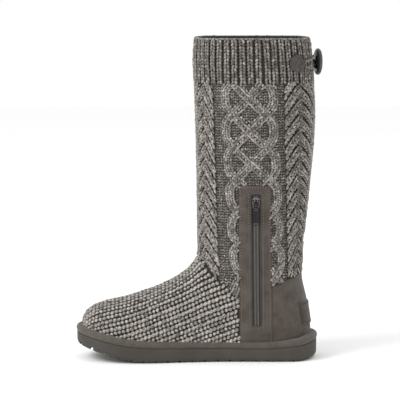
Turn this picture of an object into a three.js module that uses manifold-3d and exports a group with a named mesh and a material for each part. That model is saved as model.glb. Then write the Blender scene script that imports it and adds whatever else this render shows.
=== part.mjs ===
// A tall cable knit boot for the right foot: a knitted upper with a ribbed cuff on a moulded sole,
// with a suede zip panel on the inner side, a suede heel counter, and a big button held by a loop
// at the back of the cuff.
// Millimetres, +Z up. The toe points along -X, the inner (medial) side faces -Y, and Z = 0 is the floor.
import * as THREE from "three";
import { mergeVertices } from "three/addons/utils/BufferGeometryUtils.js";
import Module from "manifold-3d";

const wasm = await Module();
wasm.setup();

// Driving dimensions
const SOLE_LENGTH = 271;
const BALL_WIDTH = 97;
const HEEL_X = 132;
const INSTEP_HEIGHT = 112;
const COLLAR_HEIGHT = 361;
const SHAFT_DEPTH = 127;
const SHAFT_FRONT = -2;
const WALL = 3;
const GAP = 0.3;
// Cutting shapes run this far past the boot
const BEYOND = 90;

// Knit: every raised stitch column stands between these two heights over the wall
const KNIT_LOW = 0.4;
const KNIT_RISE = 2.4;
const KNIT_TOP = KNIT_LOW + KNIT_RISE;
const CUFF_HEIGHT = 51;
const CUFF_RIBS_PER_SIDE = 23;
const VAMP_RIB_PITCH = 10;
// Vamp ribs: radius of the ridge, its slope behind the seam, where the ribs leave it, their slope from there,
// and the girth over which they part
const RIDGE_ROUND = 38;
const RIDGE_CLIMB = 1.7;
const RIB_BALL_X = -60;
const RIB_SLOPE = 0.374;
const RIB_PARTING = 26;
const PLAIT_PITCH = 16.5;
const LATTICE_PERIOD = 35.8;
// Drop of the lattice's first slot row below the cuff
const LATTICE_START = 6;
// Places of the cables in turns from the front (0) to the back (1) of the shaft, at the calf and the ankle,
// and the drops below the cuff between which they move from one to the other
const DRIFT_DROPS = [60, 190];
const LATTICE_MIDDLE = [0.461, 0.54];
const LATTICE_STEP = [0.0875, 0.1];
const STRAND_HALF_WIDTH = 0.028;
const PLAITS = [
  { middle: [0.174, 0.18], half: [0.08, 0.095] },
  { middle: [0.776, 0.848], half: [0.112, 0.1] },
];
// Plain columns of stitches between the plaits, on the same turns
const PLAIN_COLUMNS = [
  { middle: 0, half: 0.09 },
  { middle: 1, half: 0.11 },
];

// Suede and trim
const SUEDE = 1.5;
const LABEL = 1.2;
const PATCH_RADIUS = 9.7;
const BINDING_WIDTH = 13;
const BINDING_HEIGHT = 8;
const BINDING_PROUD = 0.8;
const INSOLE = 5;

// Zip
const ZIP_SLOT_WIDTH = 8.4;
const SLIDER_WIDTH = 8;
const SLIDER_LENGTH = 11;
const SLIDER_DROP = 0.5;
const SLIDER_NOSE = 1;
const SLIDER_SHOULDER = 1.2;
const BRIDGE_WIDTH = 2;
const BRIDGE_SPAN = 6;
const BRIDGE_BAR = 1.2;
const PULL_WIDTH = 5.4;
const PULL_LENGTH = 26;
const PULL_THICK = 1.2;
const PULL_WINDOW_WIDTH = 2.8;
const PULL_WINDOW_LENGTH = 4.6;
const PULL_WINDOW_TOP = 0.4;
const PULL_HOLE = 1.1;
const PULL_HOLE_DROP = 3;

// Button and loop
const BUTTON_RADIUS = 15;
const BUTTON_THICK = 5.5;
const BUTTON_RIM = 5.5;
const BUTTON_DISH = 1.2;
const SHANK_RADIUS = 2.6;
const SHANK_LENGTH = 3.4;
const CORD_RADIUS = 1.3;

// Sole
const TREAD_DEPTH = 2.2;
const GROOVE_WIDTH = 3.2;
const GROOVE_PITCH = 14;
const GROOVE_WAVE = 4;
const GROOVE_BENDS = 6;
// First and last groove, in shares of the sole's length from the heel
const TREAD_ENDS = [0.02, 0.985];

// Fineness of the curved forms
const KNIT_FACETS = 4 * CUFF_RIBS_PER_SIDE;
const SUEDE_FACETS = 36;
const INNER_FACETS = 24;
const VAMP_STEPS = 18;
const HEEL_STEPS = 5;
const SOLE_STEPS = 22;
const SEAT_STEPS = 24;
const BINDING_SIDES = 6;
const BUTTON_SEGMENTS = 18;
const PATCH_SEGMENTS = 24;
const LOOP_STEPS = 28;
const LOOP_CURVE_SEGMENTS = 3;
// Small steps for slopes, as an angle and as a share of the sole's length, and rounds of a search
const ANGLE_STEP = 1e-3;
const ALONG_STEP = 0.004;
const SEARCH_ROUNDS = 40;
const MERGE_WITHIN = 1e-4;

// Rows of values under named columns.
const table = (columns, ...rows) =>
  rows.map((row) => Object.fromEntries(columns.map((column, i) => [column, row[i]])));

// Foot sections from the toe to the seam of vamp and shaft. along: share of the sole's length from the heel,
// up: share of the instep height, widths: share of the ball width, crown and seat: squareness of each half.
const FOOT_SECTIONS = table(
  ["at", "frontAlong", "frontUp", "backAlong", "backUp", "medial", "lateral", "crown", "seat"],
  ["toe tip", 0.975, 0.345, 0.975, 0.2, 0.11, 0.1, 2, 2],
  ["toe nose", 0.965, 0.424, 0.965, 0.14, 0.21, 0.2, 2, 2],
  ["toe box", 0.932, 0.497, 0.934, 0.07, 0.305, 0.315, 2.1, 2.2],
  ["toe back", 0.875, 0.547, 0.879, 0.02, 0.382, 0.407, 2.1, 2.4],
  ["ball front", 0.797, 0.592, 0.801, -0.035, 0.422, 0.456, 2, 2.4],
  ["ball", 0.712, 0.66, 0.716, -0.07, 0.428, 0.468, 2, 2.4],
  ["low instep", 0.642, 0.727, 0.613, -0.09, 0.405, 0.446, 2, 2.4],
  ["instep", 0.583, 0.798, 0.502, -0.1, 0.384, 0.42, 2, 2.4],
  ["low throat", 0.537, 0.88, 0.369, -0.1, 0.374, 0.4, 2, 2.4],
  ["throat", 0.507, 0.96, 0.221, -0.08, 0.373, 0.39, 2, 2.3],
  ["seam", 0.495, 1.018, 0.074, 0, 0.386, 0.396, 2, 2.2],
);

// Shaft sections from the seam up. back and front: share of the shaft's depth behind its front line,
// up: share of the collar height, widths: share of the shaft's depth.
const SHAFT_SECTIONS = table(
  ["at", "front", "frontUp", "back", "backUp", "medial", "lateral", "crown", "seat"],
  ["low heel", 0.007, 0.333, 0.988, 0.072, 0.301, 0.306, 2, 2.2],
  ["mid heel", 0.007, 0.348, 0.961, 0.173, 0.309, 0.314, 2, 2.2],
  ["top heel", 0.007, 0.368, 0.912, 0.251, 0.316, 0.32, 2, 2.2],
  ["ankle", 0.007, 0.396, 0.907, 0.32, 0.328, 0.33, 2, 2.2],
  ["top ankle", 0.007, 0.435, 0.928, 0.401, 0.35, 0.352, 2, 2.1],
  ["low shaft", 0.006, 0.49, 0.953, 0.482, 0.378, 0.378, 2, 2],
  ["mid shaft", 0.003, 0.565, 0.975, 0.565, 0.405, 0.405, 2, 2],
  ["calf", -0.002, 0.663, 1, 0.663, 0.43, 0.43, 2, 2],
  ["top calf", -0.01, 0.758, 1.011, 0.758, 0.438, 0.438, 2, 2],
  ["cuff base", -0.019, 0.852, 1, 0.852, 0.438, 0.438, 2, 2],
  ["cuff", -0.027, 0.93, 0.986, 0.93, 0.434, 0.434, 2, 2],
  ["collar", -0.018, 1, 0.96, 1, 0.426, 0.426, 2, 2],
);
const SEAM_ROW = FOOT_SECTIONS.length - 1;

// Sole, from the heel (along 0) to the toe (1). top and bottom are heights over the floor in millimetres,
// widths are shares of the ball width before the ends are rounded, and shift moves the middle line sideways.
const SOLE_ROWS = [
  { along: 0, top: 22, bottom: 2, medial: 0.39, lateral: 0.39, shift: 0 },
  { along: 0.06, top: 18.6, bottom: 0, medial: 0.39, lateral: 0.39, shift: 0 },
  { along: 0.2, top: 15, bottom: 0, medial: 0.388, lateral: 0.39, shift: 0 },
  { along: 0.4, top: 15.4, bottom: 0, medial: 0.388, lateral: 0.41, shift: 0 },
  { along: 0.56, top: 16, bottom: 0, medial: 0.43, lateral: 0.455, shift: 0 },
  { along: 0.7, top: 17, bottom: 0, medial: 0.482, lateral: 0.518, shift: 0 },
  { along: 0.8, top: 20, bottom: 3.6, medial: 0.482, lateral: 0.52, shift: -0.01 },
  { along: 0.9, top: 25.4, bottom: 10.4, medial: 0.468, lateral: 0.5, shift: -0.025 },
  { along: 1, top: 31, bottom: 16, medial: 0.46, lateral: 0.48, shift: -0.04 },
];
const HEEL_ROUND = 0.13;
const TOE_ROUND = 0.2;
const END_POWER = 2.3;

const MATERIALS = {
  yarn: new THREE.MeshStandardMaterial({ color: 0x837c74, roughness: 0.95, metalness: 0 }),
  suede: new THREE.MeshStandardMaterial({ color: 0x5f564f, roughness: 0.95, metalness: 0 }),
  sole: new THREE.MeshStandardMaterial({ color: 0x5b574e, roughness: 0.8, metalness: 0 }),
  fleece: new THREE.MeshStandardMaterial({ color: 0x8a8278, roughness: 1, metalness: 0 }),
  tape: new THREE.MeshStandardMaterial({ color: 0x5d5c56, roughness: 0.9, metalness: 0 }),
  pull: new THREE.MeshStandardMaterial({ color: 0x4a4846, roughness: 0.35, metalness: 0.9 }),
  gunmetal: new THREE.MeshStandardMaterial({ color: 0x3c3a3c, roughness: 0.4, metalness: 0.9 }),
  horn: new THREE.MeshStandardMaterial({ color: 0x3b3a3a, roughness: 0.4, metalness: 0 }),
};

// A column of a table between its rows, by a Catmull-Rom curve. place counts rows, from 0.
function smooth(rows, column, place) {
  const last = rows.length - 1;
  const i = Math.min(Math.max(Math.floor(place), 0), last - 1);
  const t = Math.min(Math.max(place - i, 0), 1);
  const [a, b, c, d] = [i - 1, i, i + 1, i + 2].map((k) => rows[Math.min(Math.max(k, 0), last)][column]);
  return b + 0.5 * t * (c - a + t * (2 * a - 5 * b + 4 * c - d + t * (3 * (b - c) + d - a)));
}

// Both tables of sections as one list, in millimetres.
const SECTIONS = [
  ...FOOT_SECTIONS.map((row) => ({
    frontX: HEEL_X - row.frontAlong * SOLE_LENGTH,
    frontZ: row.frontUp * INSTEP_HEIGHT,
    backX: HEEL_X - row.backAlong * SOLE_LENGTH,
    backZ: row.backUp * INSTEP_HEIGHT,
    medial: row.medial * BALL_WIDTH,
    lateral: row.lateral * BALL_WIDTH,
    crown: row.crown,
    seat: row.seat,
  })),
  ...SHAFT_SECTIONS.map((row) => ({
    frontX: SHAFT_FRONT + row.front * SHAFT_DEPTH,
    frontZ: row.frontUp * COLLAR_HEIGHT,
    backX: SHAFT_FRONT + row.back * SHAFT_DEPTH,
    backZ: row.backUp * COLLAR_HEIGHT,
    medial: row.medial * SHAFT_DEPTH,
    lateral: row.lateral * SHAFT_DEPTH,
    crown: row.crown,
    seat: row.seat,
  })),
];
const COLLAR_ROW = SECTIONS.length - 1;

// Shape of the last at a place, and a point of it at an angle that runs from the front round the inner side.
function sectionAt(place) {
  const columns = Object.keys(SECTIONS[0]);
  const row = Object.fromEntries(columns.map((column) => [column, smooth(SECTIONS, column, place)]));
  const front = new THREE.Vector3(row.frontX, 0, row.frontZ);
  const back = new THREE.Vector3(row.backX, 0, row.backZ);
  return {
    ...row,
    middle: front.clone().add(back).multiplyScalar(0.5),
    reach: front.distanceTo(back) / 2,
    forward: front.clone().sub(back).normalize(),
  };
}

function flatPoint(section, angle) {
  const [c, s] = [Math.cos(angle), Math.sin(angle)];
  const power = 2 / (c > 0 ? section.crown : section.seat);
  const width = s > 0 ? section.medial : section.lateral;
  const curve = (v) => Math.sign(v) * Math.abs(v) ** power;
  return new THREE.Vector2(section.reach * curve(c), -width * curve(s));
}

function wallPoint(section, angle) {
  const here = flatPoint(section, angle);
  const [before, after] = [angle - ANGLE_STEP, angle + ANGLE_STEP].map((near) => flatPoint(section, near));
  const tangent = after.sub(before).normalize();
  return {
    spot: section.middle.clone().addScaledVector(section.forward, here.x).setY(here.y),
    out: section.forward.clone().multiplyScalar(-tangent.y).setY(tangent.x),
  };
}

// A closed section: points from the front round the inner side, with their turns from front (0) to back (1).
function sectionPoints(place, facets) {
  const section = sectionAt(place);
  const points = [];
  for (let i = 0; i < facets; i++) {
    const turn = i <= facets / 2 ? (2 * i) / facets : 2 - (2 * i) / facets;
    points.push({ ...wallPoint(section, (2 * Math.PI * i) / facets), turn });
  }
  return points;
}

// Where a rising function of low to high first passes zero.
function solve(low, high, miss) {
  let [a, b] = [low, high];
  for (let i = 0; i < SEARCH_ROUNDS; i++) {
    const half = (a + b) / 2;
    if (miss(half) < 0) a = half;
    else b = half;
  }
  return (a + b) / 2;
}

// The point of the inner side of the shaft at an X and a height, and the way out of the wall there.
function innerSideSpot(x, z) {
  const angleAt = (place) => solve(0, Math.PI, (angle) => wallPoint(sectionAt(place), angle).spot.x - x);
  const spotAt = (place) => wallPoint(sectionAt(place), angleAt(place)).spot;
  return spotAt(solve(SEAM_ROW, COLLAR_ROW, (place) => spotAt(place).z - z));
}

function innerSidePoint(x, z, step = 4) {
  const across = innerSideSpot(x + step, z).sub(innerSideSpot(x - step, z));
  const up = innerSideSpot(x, z + step).sub(innerSideSpot(x, z - step));
  return { spot: innerSideSpot(x, z), out: across.cross(up).normalize() };
}

const wave = (cycles) => 0.5 + 0.5 * Math.cos(2 * Math.PI * cycles);

// A value of the cables at a drop below the cuff.
function goingDown(drop, [calf, ankle]) {
  const share = THREE.MathUtils.inverseLerp(...DRIFT_DROPS, drop);
  return THREE.MathUtils.lerp(calf, ankle, THREE.MathUtils.clamp(share, 0, 1));
}

// Height of a plait: two rows of lobes that fall away from the plait's middle line.
function plaitRise(turn, drop) {
  return Math.max(
    ...PLAITS.map(({ middle, half }) => {
      const across = Math.abs(turn - goingDown(drop, middle)) / goingDown(drop, half);
      if (across > 1) return 0;
      return Math.sin(Math.PI * Math.min(across + 0.15, 1)) * (0.6 + 0.4 * wave(drop / PLAIT_PITCH - across));
    }),
  );
}

// Height of a plain column: flat, with rounded edges.
function columnRise(turn) {
  return Math.max(
    ...PLAIN_COLUMNS.map(({ middle, half }) => {
      const across = Math.abs(turn - middle) / half;
      return across > 1 ? 0 : 0.85 * (1 - across ** 6);
    }),
  );
}

// Slot of a lattice strand, 0 to 3: it crosses the panel, runs along the edge for a step and comes back.
function strandSlot(step) {
  const p = ((step % 8) + 8) % 8;
  if (p < 3) return p;
  if (p < 4) return 3;
  return p < 7 ? 7 - p : 0;
}

function latticeRise(turn, drop) {
  const step = (drop - LATTICE_START) / (LATTICE_PERIOD / 2) + 1;
  return Math.max(
    ...[0, 2, 4, 6].map((phase) => {
      const offset = (strandSlot(step + phase) - 1.5) * goingDown(drop, LATTICE_STEP);
      const middle = goingDown(drop, LATTICE_MIDDLE) + offset;
      return Math.max(0, 1 - (Math.abs(turn - middle) / STRAND_HALF_WIDTH) ** 2);
    }),
  );
}

// The vamp's top ridge in side view: its height at an X, led on upwards behind the seam.
function ridgeHeight(x) {
  const place = solve(0, SEAM_ROW, (row) => smooth(SECTIONS, "frontX", row) - x);
  const behind = Math.max(0, x - SECTIONS[SEAM_ROW].frontX);
  return smooth(SECTIONS, "frontZ", place) + RIDGE_CLIMB * behind;
}

// Girth of a point of the vamp from its ridge, at the ball along the rib through it: behind the ball the ribs
// run straight on while the ridge rises away from them.
function ribGirth({ x, z }) {
  const ridge = ridgeHeight(x);
  const depth = Math.max(0, ridge - z);
  const round = RIDGE_ROUND * Math.acos(Math.max(0, 1 - depth / RIDGE_ROUND));
  const girth = round + Math.max(0, depth - RIDGE_ROUND);
  const straight = ridgeHeight(RIB_BALL_X) + RIB_SLOPE * (x - RIB_BALL_X);
  const apart = x > RIB_BALL_X ? Math.max(0, ridge - straight) : 0;
  return RIB_PARTING * Math.log1p(Math.expm1(girth / RIB_PARTING) * Math.exp(-apart / RIB_PARTING));
}

// Lift of the knit over the wall: ribs along the vamp, plaits and lattice on the shaft, ribs up the cuff.
function knitLift(place, point) {
  const drop = CUFF_BASE - point.spot.z;
  if (place < SEAM_ROW) return KNIT_LOW + KNIT_RISE * wave(ribGirth(point.spot) / VAMP_RIB_PITCH);
  if (drop < 0) return KNIT_LOW + KNIT_RISE * wave(point.turn * CUFF_RIBS_PER_SIDE);
  const rises = [plaitRise(point.turn, drop), latticeRise(point.turn, drop), columnRise(point.turn)];
  return KNIT_LOW + KNIT_RISE * Math.max(...rises);
}

// A geometry as a solid, turned the right way out.
function solid(geometry) {
  const bare = geometry.clone();
  for (const name of Object.keys(bare.attributes)) if (name !== "position") bare.deleteAttribute(name);
  const merged = mergeVertices(bare, MERGE_WITHIN);
  const vertProperties = merged.attributes.position.array;
  const make = (triVerts) => new wasm.Manifold(new wasm.Mesh({ numProp: 3, vertProperties, triVerts }));
  const triVerts = new Uint32Array(merged.index.array);
  const made = make(triVerts);
  return made.volume() > 0 ? made : make(triVerts.reverse());
}

// A skin over loops of equally many points. Its ends are closed by fans, or joined to each other for a ring.
function skin(loops, ring = false) {
  const count = loops[0].length;
  const points = loops.flat();
  const index = [];
  const rows = ring ? loops.length : loops.length - 1;
  for (let i = 0; i < rows; i++)
    for (let j = 0; j < count; j++) {
      const next = ((i + 1) % loops.length) * count;
      const [a, b] = [i * count + j, i * count + ((j + 1) % count)];
      const [c, d] = [next + j, next + ((j + 1) % count)];
      index.push(a, b, d, a, d, c);
    }
  if (!ring)
    [0, loops.length - 1].forEach((row) => {
      const centre = points.length;
      const sum = loops[row].reduce((total, p) => total.add(p), new THREE.Vector3());
      points.push(sum.divideScalar(count));
      for (let j = 0; j < count; j++) {
        const pair = [row * count + j, row * count + ((j + 1) % count)];
        index.push(centre, ...(row ? pair : pair.reverse()));
      }
    });
  return solid(new THREE.BufferGeometry().setFromPoints(points).setIndex(index));
}

// Places of sections. The plain ones follow the rows of the tables; those of the knit are a quarter of the
// lattice's period apart up the shaft, with a step where the cuff begins.
const evenly = (from, to, steps) =>
  Array.from({ length: steps + 1 }, (_, i) => from + ((to - from) * i) / steps);
const placeAt = (z) => solve(SEAM_ROW, COLLAR_ROW, (row) => smooth(SECTIONS, "frontZ", row) - z);
const CUFF_BASE = COLLAR_HEIGHT - CUFF_HEIGHT;
const LATTICE_TOP = CUFF_BASE - LATTICE_START;
const LATTICE_QUARTERS = 17;
const LATTICE_BASE = LATTICE_TOP - (LATTICE_QUARTERS / 4) * LATTICE_PERIOD;
// The cuff's ribs start over this height, and its rim is rounded over this one
const RIB_START = 1.5;
const RIM_HEIGHT = 3;
const PLAIN_PLACES = evenly(0, COLLAR_ROW, 1.5 * COLLAR_ROW);
const INNER_PLACES = evenly(0, COLLAR_ROW, COLLAR_ROW);
const KNIT_PLACES = [
  ...evenly(0, SEAM_ROW, VAMP_STEPS),
  ...evenly(SEAM_ROW, placeAt(LATTICE_BASE), HEEL_STEPS).slice(1, -1),
  ...evenly(LATTICE_BASE, LATTICE_TOP, LATTICE_QUARTERS).map(placeAt),
  ...[CUFF_BASE, CUFF_BASE + RIB_START, CUFF_BASE + CUFF_HEIGHT / 2, COLLAR_HEIGHT - RIM_HEIGHT].map(placeAt),
  COLLAR_ROW,
];

// The last as a closed form, lifted by a number or by a function of the section's place and point.
// past carries the form straight on over the collar.
function lastForm(lift, facets = SUEDE_FACETS, places = PLAIN_PLACES, past = 0) {
  const loops = places.map((place) =>
    sectionPoints(place, facets).map((point) => {
      const height = typeof lift === "number" ? lift : lift(place, point);
      return point.spot.clone().addScaledVector(point.out, height);
    }),
  );
  if (past) loops.push(loops.at(-1).map((p) => p.clone().add(new THREE.Vector3(0, 0, past))));
  return skin(loops);
}

// A prism across Y over an outline in X and Z, through the whole boot or through its inner side.
function sidePrism(outline, nearY, farY) {
  const shape = new THREE.Shape(outline.map(([x, z]) => new THREE.Vector2(x, z)));
  const geometry = new THREE.ExtrudeGeometry(shape, { depth: farY - nearY, bevelEnabled: false });
  return solid(geometry.rotateX(Math.PI / 2).translate(0, farY, 0));
}
const acrossPrism = (outline) => sidePrism(outline, -BEYOND, BEYOND);
const innerPrism = (outline) => sidePrism(outline, -BEYOND, 0);

const solePlace = (along) => {
  const i = SOLE_ROWS.findIndex((row, k) => k && along <= row.along) - 1;
  return i + (along - SOLE_ROWS[i].along) / (SOLE_ROWS[i + 1].along - SOLE_ROWS[i].along);
};
const soleValue = (column, along) => smooth(SOLE_ROWS, column, solePlace(along));
const soleX = (along) => HEEL_X - along * SOLE_LENGTH;

// Half width of the sole on one side, with a round heel and toe.
function soleHalf(side, along) {
  const heel = Math.max(0, 1 - along / HEEL_ROUND);
  const toe = Math.max(0, 1 - (1 - along) / TOE_ROUND);
  const end = Math.max(0, 1 - heel ** END_POWER - toe ** END_POWER);
  return soleValue(side, along) * BALL_WIDTH * Math.sqrt(end);
}

// Outline of the sole drawn in by inset, at a height for each share along it. The two sides pair up.
function soleLoop(inset, height) {
  const alongOf = (i) => (1 - Math.cos((Math.PI * i) / SOLE_STEPS)) / 2;
  const point = (side, i) => {
    const along = alongOf(i);
    const out = side === "medial" ? -1 : 1;
    const shift = soleValue("shift", along) * BALL_WIDTH;
    const edge = new THREE.Vector2(soleX(along), out * soleHalf(side, along) + shift);
    const [before, after] = [Math.max(along - ALONG_STEP, 0), Math.min(along + ALONG_STEP, 1)];
    const slope = (soleHalf(side, after) - soleHalf(side, before)) / ((before - after) * SOLE_LENGTH);
    const normal = new THREE.Vector2(-slope, 1).normalize();
    const end = i === 0 ? new THREE.Vector2(1, 0) : i === SOLE_STEPS ? new THREE.Vector2(-1, 0) : null;
    const away = end ?? new THREE.Vector2(normal.x, out * normal.y);
    edge.addScaledVector(away, -inset);
    return new THREE.Vector3(edge.x, edge.y, height(along));
  };
  const medial = Array.from({ length: SOLE_STEPS + 1 }, (_, i) => point("medial", i));
  const lateral = Array.from({ length: SOLE_STEPS - 1 }, (_, i) => point("lateral", SOLE_STEPS - 1 - i));
  return [...medial, ...lateral];
}

// A slab over the sole's outline: rings stacked from the bottom, closed by ladders from side to side.
function soleSlab(rings) {
  const loops = rings.map(({ inset, height }) => soleLoop(inset, height));
  const count = loops[0].length;
  const index = [];
  for (let i = 0; i + 1 < loops.length; i++)
    for (let j = 0; j < count; j++) {
      const [a, b] = [i * count + j, i * count + ((j + 1) % count)];
      index.push(a, b, b + count, a, b + count, a + count);
    }
  [0, (loops.length - 1) * count].forEach((start, top) => {
    for (let i = 0; i < SOLE_STEPS; i++) {
      const [a, b] = [start + i, start + i + 1];
      const [d, c] = [start + ((count - i) % count), start + ((count - i - 1) % count)];
      const faces = [
        [a, c, b],
        [a, d, c],
      ].filter((face) => new Set(face).size === 3);
      faces.forEach((face) => index.push(...(top ? face.reverse() : face)));
    }
  });
  return solid(new THREE.BufferGeometry().setFromPoints(loops.flat()).setIndex(index));
}

const soleTop = (along) => soleValue("top", along);
const soleBottom = (along) => Math.max(0, soleValue("bottom", along));

// Everything under the line of the sole's top, raised by lift.
function underSeat(lift) {
  const line = evenly(0, 1, SEAT_STEPS).map((along) => [soleX(along), soleTop(along) + lift]);
  const behind = HEEL_X + BEYOND;
  const ahead = soleX(1) - BEYOND;
  const [heelTop, toeTop] = [line[0][1], line.at(-1)[1]];
  return acrossPrism([[behind, heelTop], ...line, [ahead, toeTop], [ahead, -BEYOND], [behind, -BEYOND]]);
}

// Rings of the sole's wall: how far each is drawn in, and its rise over the sole's bottom or top.
const SOLE_RINGS = [
  { inset: 5, from: soleBottom, rise: 0 },
  { inset: 1.6, from: soleBottom, rise: 1.6 },
  { inset: 0, from: soleBottom, rise: 5.5 },
  { inset: 0, from: soleTop, rise: -1 },
  { inset: 1, from: soleTop, rise: 0 },
];

// Moulded sole: a wall with a rolled lower edge, and wavy grooves across the tread.
function outsole() {
  const body = soleSlab(
    SOLE_RINGS.map(({ inset, from, rise }) => ({ inset, height: (along) => from(along) + rise })),
  );
  const [last, first] = TREAD_ENDS.map((along) => soleX(along) / GROOVE_PITCH - 0.5);
  const grooves = [];
  for (let k = Math.ceil(first); k <= last; k++) {
    const middle = (k + 0.5) * GROOVE_PITCH;
    const along = (HEEL_X - middle) / SOLE_LENGTH;
    const sway = (i) => (i % 2 ? 0.5 : -0.5) * GROOVE_WAVE;
    const bends = evenly(-BALL_WIDTH, BALL_WIDTH, GROOVE_BENDS);
    const edge = (shift) => bends.map((y, i) => [middle + shift + sway(i), y]);
    const outline = [...edge(-GROOVE_WIDTH / 2), ...edge(GROOVE_WIDTH / 2).reverse()];
    const shape = new THREE.Shape(outline.map(([x, y]) => new THREE.Vector2(x, y)));
    const geometry = new THREE.ExtrudeGeometry(shape, { depth: BEYOND, bevelEnabled: false });
    grooves.push(solid(geometry.translate(0, 0, soleBottom(along) + TREAD_DEPTH - BEYOND)));
  }
  return grooves.reduce((left, groove) => left.subtract(groove), body);
}

// Rolled binding that hides the joint of upper and sole.
const BINDING_SQUARE = 0.6;
function binding() {
  const loops = [];
  const spine = soleLoop(BINDING_WIDTH / 2 - BINDING_PROUD, soleTop);
  const rim = soleLoop(-BINDING_PROUD, soleTop);
  spine.forEach((spot, i) => {
    const out = rim[i].clone().sub(spot);
    const loop = [];
    for (let j = 0; j < BINDING_SIDES; j++) {
      const angle = (2 * Math.PI * j) / BINDING_SIDES;
      const squash = Math.abs(Math.cos(angle)) ** BINDING_SQUARE * Math.sign(Math.cos(angle));
      const rise = (BINDING_HEIGHT / 2) * (1 + Math.sin(angle)) + GAP;
      loop.push(spot.clone().addScaledVector(out, squash).add(new THREE.Vector3(0, 0, rise)));
    }
    loops.push(loop);
  });
  return skin(loops, true).subtract(lastForm(KNIT_TOP + 2 * GAP)).subtract(underSeat(GAP));
}

// Side outlines of the suede pieces. Each runs on below the sole's top, where the sole trims it.
const PANEL = { topZ: 199, top: [42.5, 77], bottomZ: -5, bottom: [44.6, 82] };
const panelEdge = (side, z) =>
  THREE.MathUtils.mapLinear(z, PANEL.bottomZ, PANEL.topZ, PANEL.bottom[side], PANEL.top[side]);
const COUNTER = { sideZ: 85.5, backX: 115, backZ: 101 };
const counterOutline = (clear) => [
  [panelEdge(1, PANEL.bottomZ) + clear, PANEL.bottomZ],
  [HEEL_X + BEYOND, PANEL.bottomZ],
  [HEEL_X + BEYOND, COUNTER.backZ - clear],
  [COUNTER.backX, COUNTER.backZ - clear],
  [panelEdge(1, COUNTER.sideZ) + clear, COUNTER.sideZ - clear],
];
const panelOutline = (grow) => [
  [PANEL.bottom[0] - grow, PANEL.bottomZ],
  [PANEL.bottom[1] + grow, PANEL.bottomZ],
  [PANEL.top[1] + grow, PANEL.topZ + grow],
  [PANEL.top[0] - grow, PANEL.topZ + grow],
];

// Zip line on the panel: middle of the slot at a height, and the slot's two ends.
const ZIP = { top: 188.5, bottom: 41, middle: [61.1, 63.2] };
const zipX = (z) => THREE.MathUtils.mapLinear(z, ZIP.top, ZIP.bottom, ...ZIP.middle);
const slotOutline = (inset) => {
  const half = ZIP_SLOT_WIDTH / 2 - inset;
  const [top, bottom] = [ZIP.top - inset, ZIP.bottom + inset];
  return [
    [zipX(bottom) - half, bottom],
    [zipX(bottom) + half, bottom],
    [zipX(top) + half, top],
    [zipX(top) - half, top],
  ];
};

const core = lastForm(0, SUEDE_FACETS, PLAIN_PLACES, 5);
const suedeUnder = lastForm(GAP);
const suedeOver = lastForm(GAP + SUEDE);

// The knitted upper: cables and ribs stand on a wall that is open at the collar and underneath,
// and smooth hollows take the zip panel, the counter and the loop's patch.
function upper() {
  const outer = lastForm(knitLift, KNIT_FACETS, KNIT_PLACES);
  const inner = lastForm(-WALL, INNER_FACETS, INNER_PLACES, 8);
  const hollows = innerPrism(panelOutline(GAP))
    .add(acrossPrism(counterOutline(0)))
    .subtract(core);
  return outer.subtract(inner).subtract(underSeat(GAP)).subtract(hollows);
}

function insole() {
  const slab = underSeat(GAP + INSOLE).subtract(underSeat(GAP));
  return slab.intersect(lastForm(-WALL - GAP, INNER_FACETS, INNER_PLACES));
}

const suedeShell = () => suedeOver.subtract(suedeUnder).subtract(underSeat(GAP));
const zipPanel = () =>
  suedeShell().intersect(innerPrism(panelOutline(0))).subtract(innerPrism(slotOutline(0)));
const heelCounter = () => suedeShell().intersect(acrossPrism(counterOutline(GAP)));

// Plain label across the back of the heel.
const LABEL_OUTLINE = { low: 42, high: 66, behind: 72, front: [114, 109] };
function heelLabel() {
  const { low, high, behind, front } = LABEL_OUTLINE;
  const outline = [
    [front[0], low],
    [HEEL_X + BEYOND, low],
    [HEEL_X + BEYOND, behind],
    [front[1], high],
  ];
  const over = lastForm(2 * GAP + SUEDE + LABEL);
  const under = lastForm(2 * GAP + SUEDE);
  return over.subtract(under).intersect(acrossPrism(outline));
}

// Zip tape in its slot, with a raised row of teeth up the middle.
const TEETH_HALF_WIDTH = 1.9;
const TAPE_TOP = GAP + 0.7;
const TEETH_TOP = GAP + 1.4;
function zipTape() {
  const tape = lastForm(TAPE_TOP).intersect(innerPrism(slotOutline(GAP)));
  const rowOutline = slotOutline(ZIP_SLOT_WIDTH / 2 - TEETH_HALF_WIDTH);
  const teeth = lastForm(TEETH_TOP).intersect(innerPrism(rowOutline));
  return tape.add(teeth).subtract(suedeUnder);
}

// A box with its centre on the slider's own axes: X across the zip, Y out of the boot is negative, Z up.
const block = (size, at) => solid(new THREE.BoxGeometry(...size).translate(...at));
const bar = (radius, length, at) =>
  solid(new THREE.CylinderGeometry(radius, radius, length, 12).rotateZ(Math.PI / 2).translate(...at));

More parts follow.
